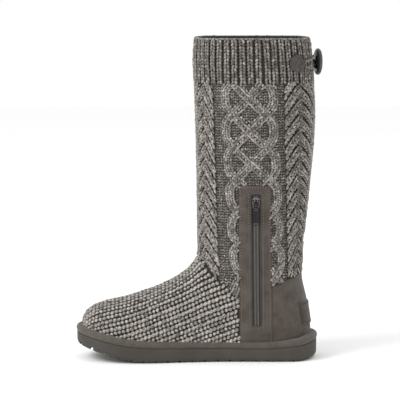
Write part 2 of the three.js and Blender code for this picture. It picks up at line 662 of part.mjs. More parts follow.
// The slider lies on the teeth with its bridge standing out. Its origin is the pull's pivot.
const BRIDGE_ROOM = 1.9;
const SLIDER_PLATE = 1.4;
const PULL_PIVOT = 181;
const PIVOT_LIFT = TEETH_TOP + GAP + SLIDER_PLATE + BRIDGE_ROOM / 2;
function zipSlider() {
  const plateY = BRIDGE_ROOM / 2 + SLIDER_PLATE / 2;
  const plate = block([SLIDER_WIDTH, SLIDER_PLATE, SLIDER_LENGTH], [0, plateY, -SLIDER_DROP]);
  const noseSize = [SLIDER_WIDTH - 2 * SLIDER_SHOULDER, SLIDER_PLATE, SLIDER_LENGTH + 2 * SLIDER_NOSE];
  const noses = block(noseSize, [0, plateY, -SLIDER_DROP]);
  const top = block([BRIDGE_WIDTH, BRIDGE_BAR, BRIDGE_SPAN], [0, -BRIDGE_ROOM / 2 - BRIDGE_BAR / 2, 0]);
  const legZ = BRIDGE_SPAN / 2 - BRIDGE_BAR / 2;
  const legDepth = BRIDGE_ROOM + 2 * BRIDGE_BAR;
  const legs = [-legZ, legZ].map((z) => block([BRIDGE_WIDTH, legDepth, BRIDGE_BAR], [0, 0, z]));
  return plate.add(noses).add(top).add(legs[0]).add(legs[1]);
}

// The pull hangs from a round bar under the bridge; the bridge passes through its window.
function zipPull() {
  const rounded = new THREE.Shape();
  const half = PULL_WIDTH / 2;
  rounded.moveTo(-half, 0);
  rounded.lineTo(-half, -PULL_LENGTH + half);
  rounded.absarc(0, -PULL_LENGTH + half, half, Math.PI, 2 * Math.PI, false);
  rounded.lineTo(half, 0);
  const window = new THREE.Path();
  const side = PULL_WINDOW_WIDTH / 2;
  window.moveTo(-side, -PULL_WINDOW_LENGTH);
  window.lineTo(-side, -PULL_WINDOW_TOP);
  window.lineTo(side, -PULL_WINDOW_TOP);
  window.lineTo(side, -PULL_WINDOW_LENGTH);
  const holeZ = -PULL_WINDOW_LENGTH - PULL_HOLE_DROP;
  const hole = new THREE.Path().absarc(0, holeZ, PULL_HOLE, 0, 2 * Math.PI, true);
  rounded.holes.push(window, hole);
  const plate = new THREE.ExtrudeGeometry(rounded, { depth: PULL_THICK, bevelEnabled: false });
  plate.rotateX(Math.PI / 2).translate(0, PULL_THICK / 2, 0);
  return solid(plate).add(bar(PULL_THICK / 2, PULL_WIDTH, [0, 0, 0]));
}

// Button with a dished face and a rolled rim, on a shank that stands on the cuff.
function button() {
  const half = BUTTON_THICK / 2;
  const profile = new THREE.Path();
  profile.moveTo(0, -half - SHANK_LENGTH);
  profile.lineTo(SHANK_RADIUS, -half - SHANK_LENGTH);
  profile.lineTo(SHANK_RADIUS, -half);
  profile.absarc(BUTTON_RADIUS - half, 0, half, -Math.PI / 2, Math.PI / 2, false);
  profile.lineTo(BUTTON_RADIUS - BUTTON_RIM, half - BUTTON_DISH);
  profile.lineTo(0, half - BUTTON_DISH);
  const points = profile.getPoints(4).map((p) => new THREE.Vector2(Math.max(p.x, 0), p.y));
  return solid(new THREE.LatheGeometry(points, BUTTON_SEGMENTS));
}

// Places on the cuff. An angle of half a turn is the back, less is the inner side.
const BUTTON_HEIGHT = 333;
const BUTTON_ANGLE = 1.045 * Math.PI;
const PATCH_ANGLE = 0.744 * Math.PI;
const cuffSection = (z) => sectionAt(placeAt(z));

// Round leather patch that the loop comes out of, lying on the cuff's ribs.
const PATCH_UNDER = KNIT_TOP + GAP;
const PATCH_THICK = 1.8;
function loopPatch() {
  const { spot, out } = wallPoint(cuffSection(BUTTON_HEIGHT), PATCH_ANGLE);
  const disc = new THREE.CylinderGeometry(PATCH_RADIUS, PATCH_RADIUS, 2 * PATCH_RADIUS, PATCH_SEGMENTS);
  disc.applyQuaternion(new THREE.Quaternion().setFromUnitVectors(new THREE.Vector3(0, 1, 0), out));
  return lastForm(PATCH_UNDER + PATCH_THICK)
    .subtract(lastForm(PATCH_UNDER))
    .intersect(solid(disc.translate(spot.x, spot.y, spot.z)));
}

// Loop of cord over the cuff from the patch's edge round the button's shank and back, each point with its
// share of the way and its height over the loop's middle.
const LOOP_POINTS = [
  { share: 0.28, up: 1.8 },
  { share: 0.38, up: 2.6 },
  { share: 0.48, up: 4.4 },
  { share: 0.6, up: 7 },
  { share: 0.75, up: 8.4 },
  { share: 0.9, up: 7.8 },
  { share: 1.03, up: 5.4 },
  { share: 1.1, up: 0 },
];
const CORD_LIFT = KNIT_TOP + GAP + CORD_RADIUS;
function buttonLoop() {
  const at = ({ share, up }) => {
    const angle = THREE.MathUtils.lerp(PATCH_ANGLE, BUTTON_ANGLE, share);
    const { spot, out } = wallPoint(cuffSection(BUTTON_HEIGHT + up), angle);
    return spot.addScaledVector(out, CORD_LIFT);
  };
  const half = LOOP_POINTS.map(at);
  const back = LOOP_POINTS.slice(0, -1).reverse();
  const path = new THREE.CatmullRomCurve3([...half, ...back.map(({ share, up }) => at({ share, up: -up }))]);
  const section = new THREE.Shape().absarc(0, 0, CORD_RADIUS, 0, 2 * Math.PI, false);
  const fineness = { steps: LOOP_STEPS, curveSegments: LOOP_CURVE_SEGMENTS };
  const sweep = { ...fineness, extrudePath: path, bevelEnabled: false };
  return solid(new THREE.ExtrudeGeometry(section, sweep));
}

function named(name, shape, material) {
  const { numProp, vertProperties, triVerts } = shape.getMesh();
  const geometry = new THREE.BufferGeometry();
  const positions = new Float32Array(vertProperties.length);
  positions.set(vertProperties);
  geometry.setAttribute("position", new THREE.BufferAttribute(positions, numProp));
  geometry.setIndex(new THREE.BufferAttribute(triVerts, 1));
  geometry.computeVertexNormals();
  const mesh = new THREE.Mesh(geometry, material.clone());
  mesh.name = name;
  return mesh;
}

const boot = new THREE.Group();
boot.add(named("outsole", outsole(), MATERIALS.sole));
boot.add(named("binding", binding(), MATERIALS.suede));
boot.add(named("insole", insole(), MATERIALS.fleece));
boot.add(named("upper", upper(), MATERIALS.yarn));
boot.add(named("zip_panel", zipPanel(), MATERIALS.suede));
boot.add(named("heel_counter", heelCounter(), MATERIALS.suede));
boot.add(named("heel_label", heelLabel(), MATERIALS.suede));
boot.add(named("zip_tape", zipTape(), MATERIALS.tape));
boot.add(named("loop_patch", loopPatch(), MATERIALS.suede));
boot.add(named("button_loop", buttonLoop(), MATERIALS.suede));

// Stands a mesh on the wall: its axis points out of the boot, and its origin is lifted over the wall.
function standOn(mesh, axis, { spot, out }, lift) {
  mesh.quaternion.setFromUnitVectors(axis, out);
  mesh.position.copy(spot).addScaledVector(out, lift);
  boot.add(mesh);
}

const buttonSpot = wallPoint(cuffSection(BUTTON_HEIGHT), BUTTON_ANGLE);
const buttonLift = KNIT_TOP + GAP + SHANK_LENGTH + BUTTON_THICK / 2;
standOn(named("button", button(), MATERIALS.horn), new THREE.Vector3(0, 1, 0), buttonSpot, buttonLift);

const sliderSpot = innerSidePoint(zipX(PULL_PIVOT), PULL_PIVOT);
const outward = new THREE.Vector3(0, -1, 0);
standOn(named("zip_slider", zipSlider(), MATERIALS.gunmetal), outward, sliderSpot, PIVOT_LIFT);
standOn(named("zip_pull", zipPull(), MATERIALS.pull), outward, sliderSpot, PIVOT_LIFT);

export default boot;
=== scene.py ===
# Looks of a tall cable knit boot for the right foot: its yarn stitch by stitch, suede, zip, button and sole.
# The boot's own sizes are millimetres, and MM turns them to Blender's metres. The toe points along -X,
# the inner side with the zip faces -Y, and Z = 0 is the floor.
import math
from functools import partial

import bmesh
import bpy
import numpy as np
from mathutils import Matrix, Vector


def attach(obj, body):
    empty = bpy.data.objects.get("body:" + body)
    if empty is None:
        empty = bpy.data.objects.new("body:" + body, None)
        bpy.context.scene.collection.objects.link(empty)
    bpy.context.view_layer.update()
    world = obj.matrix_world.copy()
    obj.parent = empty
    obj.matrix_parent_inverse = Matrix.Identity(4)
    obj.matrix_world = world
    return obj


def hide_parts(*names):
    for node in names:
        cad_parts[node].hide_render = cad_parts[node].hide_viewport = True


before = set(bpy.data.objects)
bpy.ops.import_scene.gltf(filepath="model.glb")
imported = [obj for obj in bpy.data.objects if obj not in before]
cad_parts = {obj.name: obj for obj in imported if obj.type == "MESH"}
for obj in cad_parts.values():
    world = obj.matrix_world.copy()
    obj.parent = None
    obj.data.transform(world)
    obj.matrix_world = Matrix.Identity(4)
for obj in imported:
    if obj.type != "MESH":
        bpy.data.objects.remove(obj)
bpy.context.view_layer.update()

random = np.random.default_rng(20)
MM = 0.001

# Driving dimensions, the same as the solids'
SOLE_LENGTH = 271
BALL_WIDTH = 97
HEEL_X = 132
INSTEP_HEIGHT = 112
COLLAR_HEIGHT = 361
SHAFT_DEPTH = 127
SHAFT_FRONT = -2
WALL = 3
GAP = 0.3
KNIT_TOP = 2.8
CUFF_HEIGHT = 51
CUFF_BASE = COLLAR_HEIGHT - CUFF_HEIGHT
CUFF_RIBS_PER_SIDE = 23
VAMP_RIB_PITCH = 10
PLAIT_PITCH = 16.5
LATTICE_PERIOD = 35.8
LATTICE_START = 6
LATTICE_MIDDLE = (0.461, 0.54)
LATTICE_STEP = (0.0875, 0.1)
SUEDE = 1.5
LABEL = 1.2
PATCH_RADIUS = 9.7
PATCH_THICK = 1.8
BINDING_WIDTH = 13
BINDING_HEIGHT = 8
BINDING_PROUD = 0.8
ZIP_SLOT_WIDTH = 8.4
BUTTON_RADIUS = 15
BUTTON_THICK = 5.5
BUTTON_HEIGHT = 333
BUTTON_TURN = 1.045
PATCH_TURN = 0.744
SHANK_RADIUS = 2.6
SHANK_LENGTH = 3.4
CORD_RADIUS = 1.3
PULL_PIVOT = 181
PIVOT_LIFT = 4.35
# Girth of one side of the shaft, front to back, where it is widest
TURN_GIRTH = 185


# Shape of the last


def table(columns, *rows):
    """The columns of a table as arrays. A row's first entry only says where it is."""
    return {column: np.array([row[i + 1] for row in rows], float) for i, column in enumerate(columns)}


# Foot sections from the toe to the seam of vamp and shaft: along is a share of the sole's length from the heel,
# up of the instep height, widths of the ball width; crown and seat are the squareness of each half.
FOOT = table(
    ("front_along", "front_up", "back_along", "back_up", "medial", "lateral", "crown", "seat"),
    ("toe tip", 0.975, 0.345, 0.975, 0.2, 0.11, 0.1, 2, 2),
    ("toe nose", 0.965, 0.424, 0.965, 0.14, 0.21, 0.2, 2, 2),
    ("toe box", 0.932, 0.497, 0.934, 0.07, 0.305, 0.315, 2.1, 2.2),
    ("toe back", 0.875, 0.547, 0.879, 0.02, 0.382, 0.407, 2.1, 2.4),
    ("ball front", 0.797, 0.592, 0.801, -0.035, 0.422, 0.456, 2, 2.4),
    ("ball", 0.712, 0.66, 0.716, -0.07, 0.428, 0.468, 2, 2.4),
    ("low instep", 0.642, 0.727, 0.613, -0.09, 0.405, 0.446, 2, 2.4),
    ("instep", 0.583, 0.798, 0.502, -0.1, 0.384, 0.42, 2, 2.4),
    ("low throat", 0.537, 0.88, 0.369, -0.1, 0.374, 0.4, 2, 2.4),
    ("throat", 0.507, 0.96, 0.221, -0.08, 0.373, 0.39, 2, 2.3),
    ("seam", 0.495, 1.018, 0.074, 0, 0.386, 0.396, 2, 2.2),
)

# Shaft sections from the seam up: front and back are shares of the shaft's depth behind its front line,
# up of the collar height, widths of the shaft's depth.
SHAFT = table(
    ("front", "front_up", "back", "back_up", "medial", "lateral", "crown", "seat"),
    ("low heel", 0.007, 0.333, 0.988, 0.072, 0.301, 0.306, 2, 2.2),
    ("mid heel", 0.007, 0.348, 0.961, 0.173, 0.309, 0.314, 2, 2.2),
    ("top heel", 0.007, 0.368, 0.912, 0.251, 0.316, 0.32, 2, 2.2),
    ("ankle", 0.007, 0.396, 0.907, 0.32, 0.328, 0.33, 2, 2.2),
    ("top ankle", 0.007, 0.435, 0.928, 0.401, 0.35, 0.352, 2, 2.1),
    ("low shaft", 0.006, 0.49, 0.953, 0.482, 0.378, 0.378, 2, 2),
    ("mid shaft", 0.003, 0.565, 0.975, 0.565, 0.405, 0.405, 2, 2),
    ("calf", -0.002, 0.663, 1, 0.663, 0.43, 0.43, 2, 2),
    ("top calf", -0.01, 0.758, 1.011, 0.758, 0.438, 0.438, 2, 2),
    ("cuff base", -0.019, 0.852, 1, 0.852, 0.438, 0.438, 2, 2),
    ("cuff", -0.027, 0.93, 0.986, 0.93, 0.434, 0.434, 2, 2),
    ("collar", -0.018, 1, 0.96, 1, 0.426, 0.426, 2, 2),
)

# Sole from the heel to the toe: top and bottom are heights over the floor, widths are shares of the ball width
# before the ends are rounded, and shift moves the middle line sideways.
SOLE = table(
    ("along", "top", "bottom", "medial", "lateral", "shift"),
    ("heel", 0, 22, 2, 0.39, 0.39, 0),
    ("heel edge", 0.06, 18.6, 0, 0.39, 0.39, 0),
    ("seat", 0.2, 15, 0, 0.388, 0.39, 0),
    ("waist", 0.4, 15.4, 0, 0.388, 0.41, 0),
    ("arch", 0.56, 16, 0, 0.43, 0.455, 0),
    ("ball", 0.7, 17, 0, 0.482, 0.518, 0),
    ("toe spring", 0.8, 20, 3.6, 0.482, 0.52, -0.01),
    ("toe box", 0.9, 25.4, 10.4, 0.468, 0.5, -0.025),
    ("toe", 1, 31, 16, 0.46, 0.48, -0.04),
)
HEEL_ROUND = 0.13
TOE_ROUND = 0.2
END_POWER = 2.3

SEAM_ROW = len(FOOT["crown"]) - 1
SECTIONS = {
    "front_x": np.append(HEEL_X - FOOT["front_along"] * SOLE_LENGTH, SHAFT_FRONT + SHAFT["front"] * SHAFT_DEPTH),
    "front_z": np.append(FOOT["front_up"] * INSTEP_HEIGHT, SHAFT["front_up"] * COLLAR_HEIGHT),
    "back_x": np.append(HEEL_X - FOOT["back_along"] * SOLE_LENGTH, SHAFT_FRONT + SHAFT["back"] * SHAFT_DEPTH),
    "back_z": np.append(FOOT["back_up"] * INSTEP_HEIGHT, SHAFT["back_up"] * COLLAR_HEIGHT),
    "medial": np.append(FOOT["medial"] * BALL_WIDTH, SHAFT["medial"] * SHAFT_DEPTH),
    "lateral": np.append(FOOT["lateral"] * BALL_WIDTH, SHAFT["lateral"] * SHAFT_DEPTH),
    "crown": np.append(FOOT["crown"], SHAFT["crown"]),
    "seat": np.append(FOOT["seat"], SHAFT["seat"]),
}
COLLAR_ROW = len(SECTIONS["crown"]) - 1

# Soft creases of the upper, in the side view: x, z, tilt of the fold's line in degrees, its half length,
# its half width, and its depth (a ridge is negative).
CREASES = (
    ("bend over the instep", -2, 124, -32, 22, 7, 0.9),
    ("ridge under the bend", 8, 110, -40, 24, 6, -0.5),
    ("fold at the back of the ankle", 112, 136, 12, 16, 8, 0.9),
    ("ridge over the counter", 112, 112, 14, 18, 7, -0.4),
    ("hollow beside the ankle bone", 22, 142, -25, 20, 9, 0.6),
    ("soft fold up the calf", 100, 190, 70, 34, 9, 0.6),
    ("toe bend", -52, 70, 34, 22, 8, 0.6),
)


def smooth(column, place):
    """A column of a table between its rows, by a Catmull-Rom curve. place counts rows."""
    last = len(column) - 1
    place = np.asarray(place, float)
    i = np.clip(np.floor(place).astype(int), 0, last - 1)
    t = np.clip(place - i, 0, 1)
    a, b, c, d = (column[np.clip(i + k, 0, last)] for k in (-1, 0, 1, 2))
    return b + 0.5 * t * (c - a + t * (2 * a - 5 * b + 4 * c - d + t * (3 * (b - c) + d - a)))


def crease_lift(x, z):
    """How far the creases lift the wall at a place of the side view."""
    lift = np.zeros_like(x)
    for _, middle_x, middle_z, tilt, length, width, depth in CREASES:
        c, s = math.cos(math.radians(tilt)), math.sin(math.radians(tilt))
        along = (x - middle_x) * c + (z - middle_z) * s
        across = (z - middle_z) * c - (x - middle_x) * s
        lift -= depth * np.exp(-((along / length) ** 2) - (across / width) ** 2)
    return lift


ANGLE_STEP = 1e-3
# The rim hangs lower on the inner side, over this share of the cuff
RIM_DIP = 2.6


def wall(place, angle, lift=0.0):
    """Points of the wall at a row place and an angle from the front round the inner side, lifted off the last."""
    place, angle, lift = np.broadcast_arrays(np.asarray(place, float), angle, lift)
    row = {name: smooth(column, place) for name, column in SECTIONS.items()}
    deep_x, deep_z = row["front_x"] - row["back_x"], row["front_z"] - row["back_z"]
    depth = np.hypot(deep_x, deep_z)

    def flat(at):
        c, s = np.cos(at), np.sin(at)
        power = 2 / np.where(c > 0, row["crown"], row["seat"])
        width = np.where(s > 0, row["medial"], row["lateral"])
        return depth / 2 * np.sign(c) * np.abs(c) ** power, -width * np.sign(s) * np.abs(s) ** power

    along, across = flat(angle)
    after, before = flat(angle + ANGLE_STEP), flat(angle - ANGLE_STEP)
    turn_along, turn_across = after[0] - before[0], after[1] - before[1]
    size = np.hypot(turn_along, turn_across)
    middle_x, middle_z = (row["front_x"] + row["back_x"]) / 2, (row["front_z"] + row["back_z"]) / 2
    lift = lift + crease_lift(middle_x + deep_x / depth * along, middle_z + deep_z / depth * along)
    along = along - lift * turn_across / size
    across = across + lift * turn_along / size
    height = middle_z + deep_z / depth * along
    high = np.clip((height - CUFF_BASE) / CUFF_HEIGHT, 0, 1)
    height = height - RIM_DIP * high**2 * np.clip(0.5 + np.sin(angle), 0, 1)
    return np.stack([middle_x + deep_x / depth * along, across, height], -1)


def look_up(grid, row, column):
    """A value between the entries of a grid."""
    row = np.clip(row, 0, grid.shape[0] - 1.001)
    column = np.clip(column, 0, grid.shape[1] - 1.001)
    i, j = row.astype(int), column.astype(int)
    u, v = row - i, column - j
    first = grid[i, j] * (1 - v) + grid[i, j + 1] * v
    second = grid[i + 1, j] * (1 - v) + grid[i + 1, j + 1] * v
    return first * (1 - u) + second * u


# Turns run from the front (0) to the back (1) of a side. These grids give a row place for a turn and a height,
# and a turn for an X and a height of the side view.
TURN_STEPS = 180
LOWEST_SIDE_ROW = 4
TURNS = np.linspace(0, 1, TURN_STEPS + 1)
HEIGHTS = np.arange(COLLAR_HEIGHT + 1.0)
SIDE_XS = np.arange(SHAFT_FRONT - 10.0, HEEL_X + 1)
SIDE_ROWS = np.linspace(LOWEST_SIDE_ROW, COLLAR_ROW, 700)
VAMP_ROWS = np.linspace(0, SEAM_ROW + 1, 221)


def row_grid():
    rise = [np.maximum.accumulate(wall(SIDE_ROWS, np.pi * turn)[:, 2]) for turn in TURNS]
    return np.array([np.interp(HEIGHTS, heights, SIDE_ROWS) for heights in rise])


ROW_GRID = row_grid()


def side_row(turn, z):
    """Row place of the wall at a turn and a height."""
    return look_up(ROW_GRID, turn * TURN_STEPS, z)


def turn_grid():
    turns, heights = np.meshgrid(TURNS, HEIGHTS, indexing="ij")
    x = wall(side_row(turns, heights), np.pi * turns)[..., 0]
    columns = [np.interp(SIDE_XS, np.maximum.accumulate(x[:, k]), TURNS) for k in range(len(HEIGHTS))]
    return np.array(columns).T


TURN_GRID = turn_grid()


def side_turn(x, z):
    """Turn of the wall at an X and a height of the side view."""
    return look_up(TURN_GRID, x - SIDE_XS[0], z)


def side_point(x, z, lift):
    """Point of the inner side at an X and a height, lifted off the wall."""
    turn = side_turn(x, z)
    return wall(side_row(turn, z), np.pi * turn, lift)


def shaft_point(side, spots):
    """Points of spots of the shaft and cuff, given as turn, drop below the cuff and lift. side 1 is the inner one."""
    turn, drop, lift = spots.T
    folded = 1 - np.abs(1 - np.abs(turn))
    return wall(side_row(folded, CUFF_BASE - drop), side * np.pi * turn, lift)


# Ribs of the vamp: down to the ball they follow the top ridge, and behind it they part from it at a steady slope.
RIB_BALL_X = -60
RIB_SLOPE = 0.374
RIB_PARTING = 26
RIDGE_ROUND = 38
RIDGE_CLIMB = 1.7
RIDGE_X = smooth(SECTIONS["front_x"], VAMP_ROWS[VAMP_ROWS <= SEAM_ROW])
RIDGE_Z = smooth(SECTIONS["front_z"], VAMP_ROWS[VAMP_ROWS <= SEAM_ROW])


def ridge(x):
    """Height of the vamp's top ridge, led on upwards behind the seam."""
    return np.interp(x, RIDGE_X, RIDGE_Z) + RIDGE_CLIMB * np.maximum(0, x - RIDGE_X[-1])


def rib_height(x, rib):
    """Height of a rib at an X, for its girth from the ridge at the ball."""
    straight = ridge(RIB_BALL_X) + RIB_SLOPE * (x - RIB_BALL_X)
    apart = np.where(x > RIB_BALL_X, np.maximum(0, ridge(x) - straight), 0)
    girth = RIB_PARTING * np.log1p(np.expm1(np.abs(rib) / RIB_PARTING) * np.exp(apart / RIB_PARTING))
    bend = np.minimum(girth / RIDGE_ROUND, np.pi / 2)
    return ridge(x) - RIDGE_ROUND * (1 - np.cos(bend)) - (girth - bend * RIDGE_ROUND)


def section_sides(x, z, place):
    """How far points of the side view lie behind the line of a section."""
    row = {name: smooth(SECTIONS[name], place) for name in ("front_x", "front_z", "back_x", "back_z")}
    deep_x, deep_z = row["front_x"] - row["back_x"], row["front_z"] - row["back_z"]
    return ((x - row["back_x"]) * deep_z - (z - row["back_z"]) * deep_x) / np.hypot(deep_x, deep_z)


def behind_seam(x, z):
    return section_sides(x, z, SEAM_ROW)


def vamp_point(side, spots):
    """Points of spots of the vamp, given as X, girth of the rib at the ball and lift. side 1 is the inner one."""
    x, rib, lift = spots.T
    z = rib_height(x, rib)
    sides = section_sides(x[:, None], z[:, None], VAMP_ROWS[None, :])
    last = len(VAMP_ROWS) - 1
    after = np.where(sides[:, last] < 0, np.clip(np.argmax(sides < 0, axis=1), 1, last), last)
    each = np.arange(len(x))
    first, second = sides[each, after - 1], sides[each, after]
    place = VAMP_ROWS[after - 1] + VAMP_ROWS[1] * np.clip(first / (first - second), 0, 1)
    front = wall(place, 0.0)
    back = wall(place, np.pi)
    deep = front - back
    share = 2 * ((x - back[:, 0]) * deep[:, 0] + (z - back[:, 2]) * deep[:, 2]) / np.sum(deep**2, axis=1) - 1
    share = np.clip(share, -1, 1)
    power = np.where(share > 0, smooth(SECTIONS["crown"], place), smooth(SECTIONS["seat"], place)) / 2
    angle = np.arccos(np.sign(share) * np.abs(share) ** power)
    return wall(place, side * np.where(rib < 0, -1, 1) * angle, lift)


def sole_value(column, along):
    return smooth(SOLE[column], np.interp(along, SOLE["along"], np.arange(len(SOLE["along"]))))


def sole_along(x):
    return np.clip((HEEL_X - x) / SOLE_LENGTH, 0, 1)


def sole_top(x):
    return sole_value("top", sole_along(x))


def sole_bottom(along):
    return np.maximum(0, sole_value("bottom", along))


def sole_half(side, along):
    """Half width of the sole on one side, with a round heel and toe."""
    heel = np.maximum(0, 1 - along / HEEL_ROUND)
    toe = np.maximum(0, 1 - (1 - along) / TOE_ROUND)
    return sole_value(side, along) * BALL_WIDTH * np.sqrt(np.maximum(0, 1 - heel**END_POWER - toe**END_POWER))


def sole_edge(out, along, inset):
    """Plan points of the sole's outline drawn in by inset. out is -1 on the inner side and 1 on the outer."""
    step = 0.004
    along, inset = np.broadcast_arrays(np.asarray(along, float), inset)
    before, after = np.maximum(along - step, 0), np.minimum(along + step, 1)
    inner = out < 0

    def half(at):
        return np.where(inner, sole_half("medial", at), sole_half("lateral", at))

    slope = (half(after) - half(before)) / ((before - after) * SOLE_LENGTH)
    size = np.hypot(slope, 1)
    away_x = np.where(along <= 0, 1.0, np.where(along >= 1, -1.0, -slope / size))
    away_y = np.where((along <= 0) | (along >= 1), 0.0, out / size)
    x = HEEL_X - along * SOLE_LENGTH - inset * away_x
    y = out * half(along) + sole_value("shift", along) * BALL_WIDTH - inset * away_y
    return x, y


# Side outlines of the suede pieces
PANEL_TOP = 199
PANEL_LOW = 16
PANEL_EDGE_Z = (-5, PANEL_TOP)
PANEL_FRONT_X = (44.6, 42.5)
PANEL_BACK_X = (82, 77)
COUNTER_SIDE_Z = 85.5
COUNTER_BACK_X = 115
COUNTER_BACK_Z = 101
LABEL_LOW = 42
LABEL_HIGH = 66
LABEL_FRONT_X = (114, 109)
ZIP_Z = (41, 188.5)
ZIP_X = (63.2, 61.1)


def panel_front(z):
    return np.interp(z, PANEL_EDGE_Z, PANEL_FRONT_X)


def panel_back(z):
    return np.interp(z, PANEL_EDGE_Z, PANEL_BACK_X)


def zip_x(z):
    return np.interp(z, ZIP_Z, ZIP_X)


def counter_top(x):
    return np.interp(x, (panel_back(COUNTER_SIDE_Z), COUNTER_BACK_X), (COUNTER_SIDE_Z, COUNTER_BACK_Z))


def under_suede(points):
    """Which points lie under the zip panel or the heel counter."""
    x, y, z = points.T
    panel = (y < 0) & (z < PANEL_TOP) & (x > panel_front(z)) & (x < panel_back(z))
    counter = (x > panel_back(z)) & (z < counter_top(x))
    return panel | counter


# Shader nodes and meshes


def linear(colour):
    """An sRGB hex colour as linear RGBA."""
    parts = [int(colour[i : i + 2], 16) / 255 for i in (1, 3, 5)]
    return [c / 12.92 if c <= 0.04045 else ((c + 0.055) / 1.055) ** 2.4 for c in parts] + [1]


def add(tree, kind, inputs, **settings):
    """Adds a node. inputs are values, or sockets to link, by the name or number of the input."""
    node = tree.nodes.new("ShaderNode" + kind)
    for name, value in settings.items():
        setattr(node, name, value)
    for name, value in inputs.items():
        if isinstance(value, bpy.types.NodeSocket):
            tree.links.new(value, node.inputs[name])
        else:
            node.inputs[name].default_value = value
    return node


# Numbers of a Mix node's colour sockets
MIX_A = 6
MIX_B = 7
MIX_RESULT = 2
# Scale of a Wave node whose bands are one unit apart
WAVE_BAND = math.pi / 10


def new_material(name):
    """An empty node tree with its surface shader."""
    material = bpy.data.materials.new(name)
    material.use_nodes = True
    return material, material.node_tree, material.node_tree.nodes["Principled BSDF"]


def per_metre(size):
    """Scale of a texture whose features are that many millimetres apart."""
    return 1 / (size * MM)


def grid_shape(columns, rows, point):
    """A grid shaped by point(columns, rows), in millimetres, and each vertex's column and row numbers."""
    shape = bmesh.new()
    bmesh.ops.create_grid(shape, x_segments=len(columns) - 1, y_segments=len(rows) - 1, size=0.5)
    flat = np.array([vert.co[:2] for vert in shape.verts]) + 0.5
    i = np.rint(flat[:, 0] * (len(columns) - 1)).astype(int)
    j = np.rint(flat[:, 1] * (len(rows) - 1)).astype(int)
    for vert, spot in zip(shape.verts, point(np.asarray(columns)[i], np.asarray(rows)[j]) * MM):
        vert.co = spot
    return shape, i, j


def closed(shape):
    """Merges the grid's meeting edges and turns its faces outwards."""
    bmesh.ops.remove_doubles(shape, verts=shape.verts, dist=0.01 * MM)
    bmesh.ops.recalc_face_normals(shape, faces=shape.faces)


def piece(name, shape, materials, slot, body="boot", replaces=()):
    """Makes a finished bmesh an object that rides on a body."""
    mesh = bpy.data.meshes.new(name)
    shape.to_mesh(mesh)
    shape.free()
    return dress(name, mesh, materials, body, replaces)


def dress(name, mesh, materials, body="boot", replaces=()):
    """Gives a mesh its object, materials and body."""
    for material in materials:
        mesh.materials.append(material)
    mesh.polygons.foreach_set("use_smooth", np.ones(len(mesh.polygons), bool))
    thing = bpy.data.objects.new(name, mesh)
    bpy.context.scene.collection.objects.link(thing)
    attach(thing, body)
    if replaces:
        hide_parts(*replaces)
    return thing


def thicken(thing, thickness, edge):
    """Gives a sheet its thickness inwards, and rounds its cut edges."""
    wall_modifier = thing.modifiers.new("thickness", "SOLIDIFY")
    wall_modifier.thickness = thickness * MM
    wall_modifier.offset = -1
    rounding = thing.modifiers.new("edges", "BEVEL")
    rounding.width = edge * MM
    rounding.segments = 2
    rounding.limit_method = "ANGLE"
    rounding.angle_limit = math.radians(50)


# Yarn: every leg of a stitch is one plump lobe between two points of the wall


def lobe(segments, rings, fullness):
    """A lobe along Z from -1 to 1: its points, and its faces as lists of corners with their UVs."""
    shape = bmesh.new()
    bmesh.ops.create_uvsphere(shape, u_segments=segments, v_segments=rings, radius=1)
    for vert in shape.verts:
        ring = math.hypot(vert.co.x, vert.co.y)
        if ring > 1e-6:
            full = (1 - abs(vert.co.z) ** fullness) ** (1 / fullness)
            vert.co.xy = vert.co.xy * (full / ring)
    points = np.array([vert.co[:] for vert in shape.verts])
    faces, uvs = [], []
    for face in shape.faces:
        around = [math.atan2(vert.co.y, vert.co.x) / (2 * math.pi) % 1 for vert in face.verts]
        around = [u + 1 if max(around) - u > 0.5 else u for u in around]
        faces.append([vert.index for vert in face.verts])
        uvs += [(u, vert.co.z / 2 + 0.5) for u, vert in zip(around, face.verts)]
    shape.free()
    return points, faces, np.array(uvs)


# How far a leg strays from its place, and how its width varies
YARN_STRAY = 0.22
YARN_EVEN = (0.86, 1.14)


def legs(points, starts, ends, width, thick, tone_and_painted_light=0.0):
    """Legs of yarn from spots to spots of the wall; points turns spots into millimetres, and the tone lightens them:
    painted light on the vamp, and painted shade where it is negative, in the purl ground, at the leaf roots and inside
    the rim.
    """
    middle = (starts + ends) / 2
    count = len(starts)
    return {
        "start": points(starts) + random.normal(0, YARN_STRAY, (count, 3)),
        "end": points(ends) + random.normal(0, YARN_STRAY, (count, 3)),
        "out": points(middle + (0, 0, 1)) - points(middle),
        "width": width * random.uniform(*YARN_EVEN, count),
        "thick": np.broadcast_to(thick, count),
        "tone_and_painted_light": np.broadcast_to(tone_and_painted_light, count),
    }


def gathered(parts):
    """Several lots of legs as one."""
    return {name: np.concatenate([part[name] for part in parts]) for name in parts[0]}


def chosen(part, keep):
    return {name: values[keep] for name, values in part.items()}


def unit(vectors):
    return vectors / np.linalg.norm(vectors, axis=-1, keepdims=True)


SHADE_SPREAD = 0.27


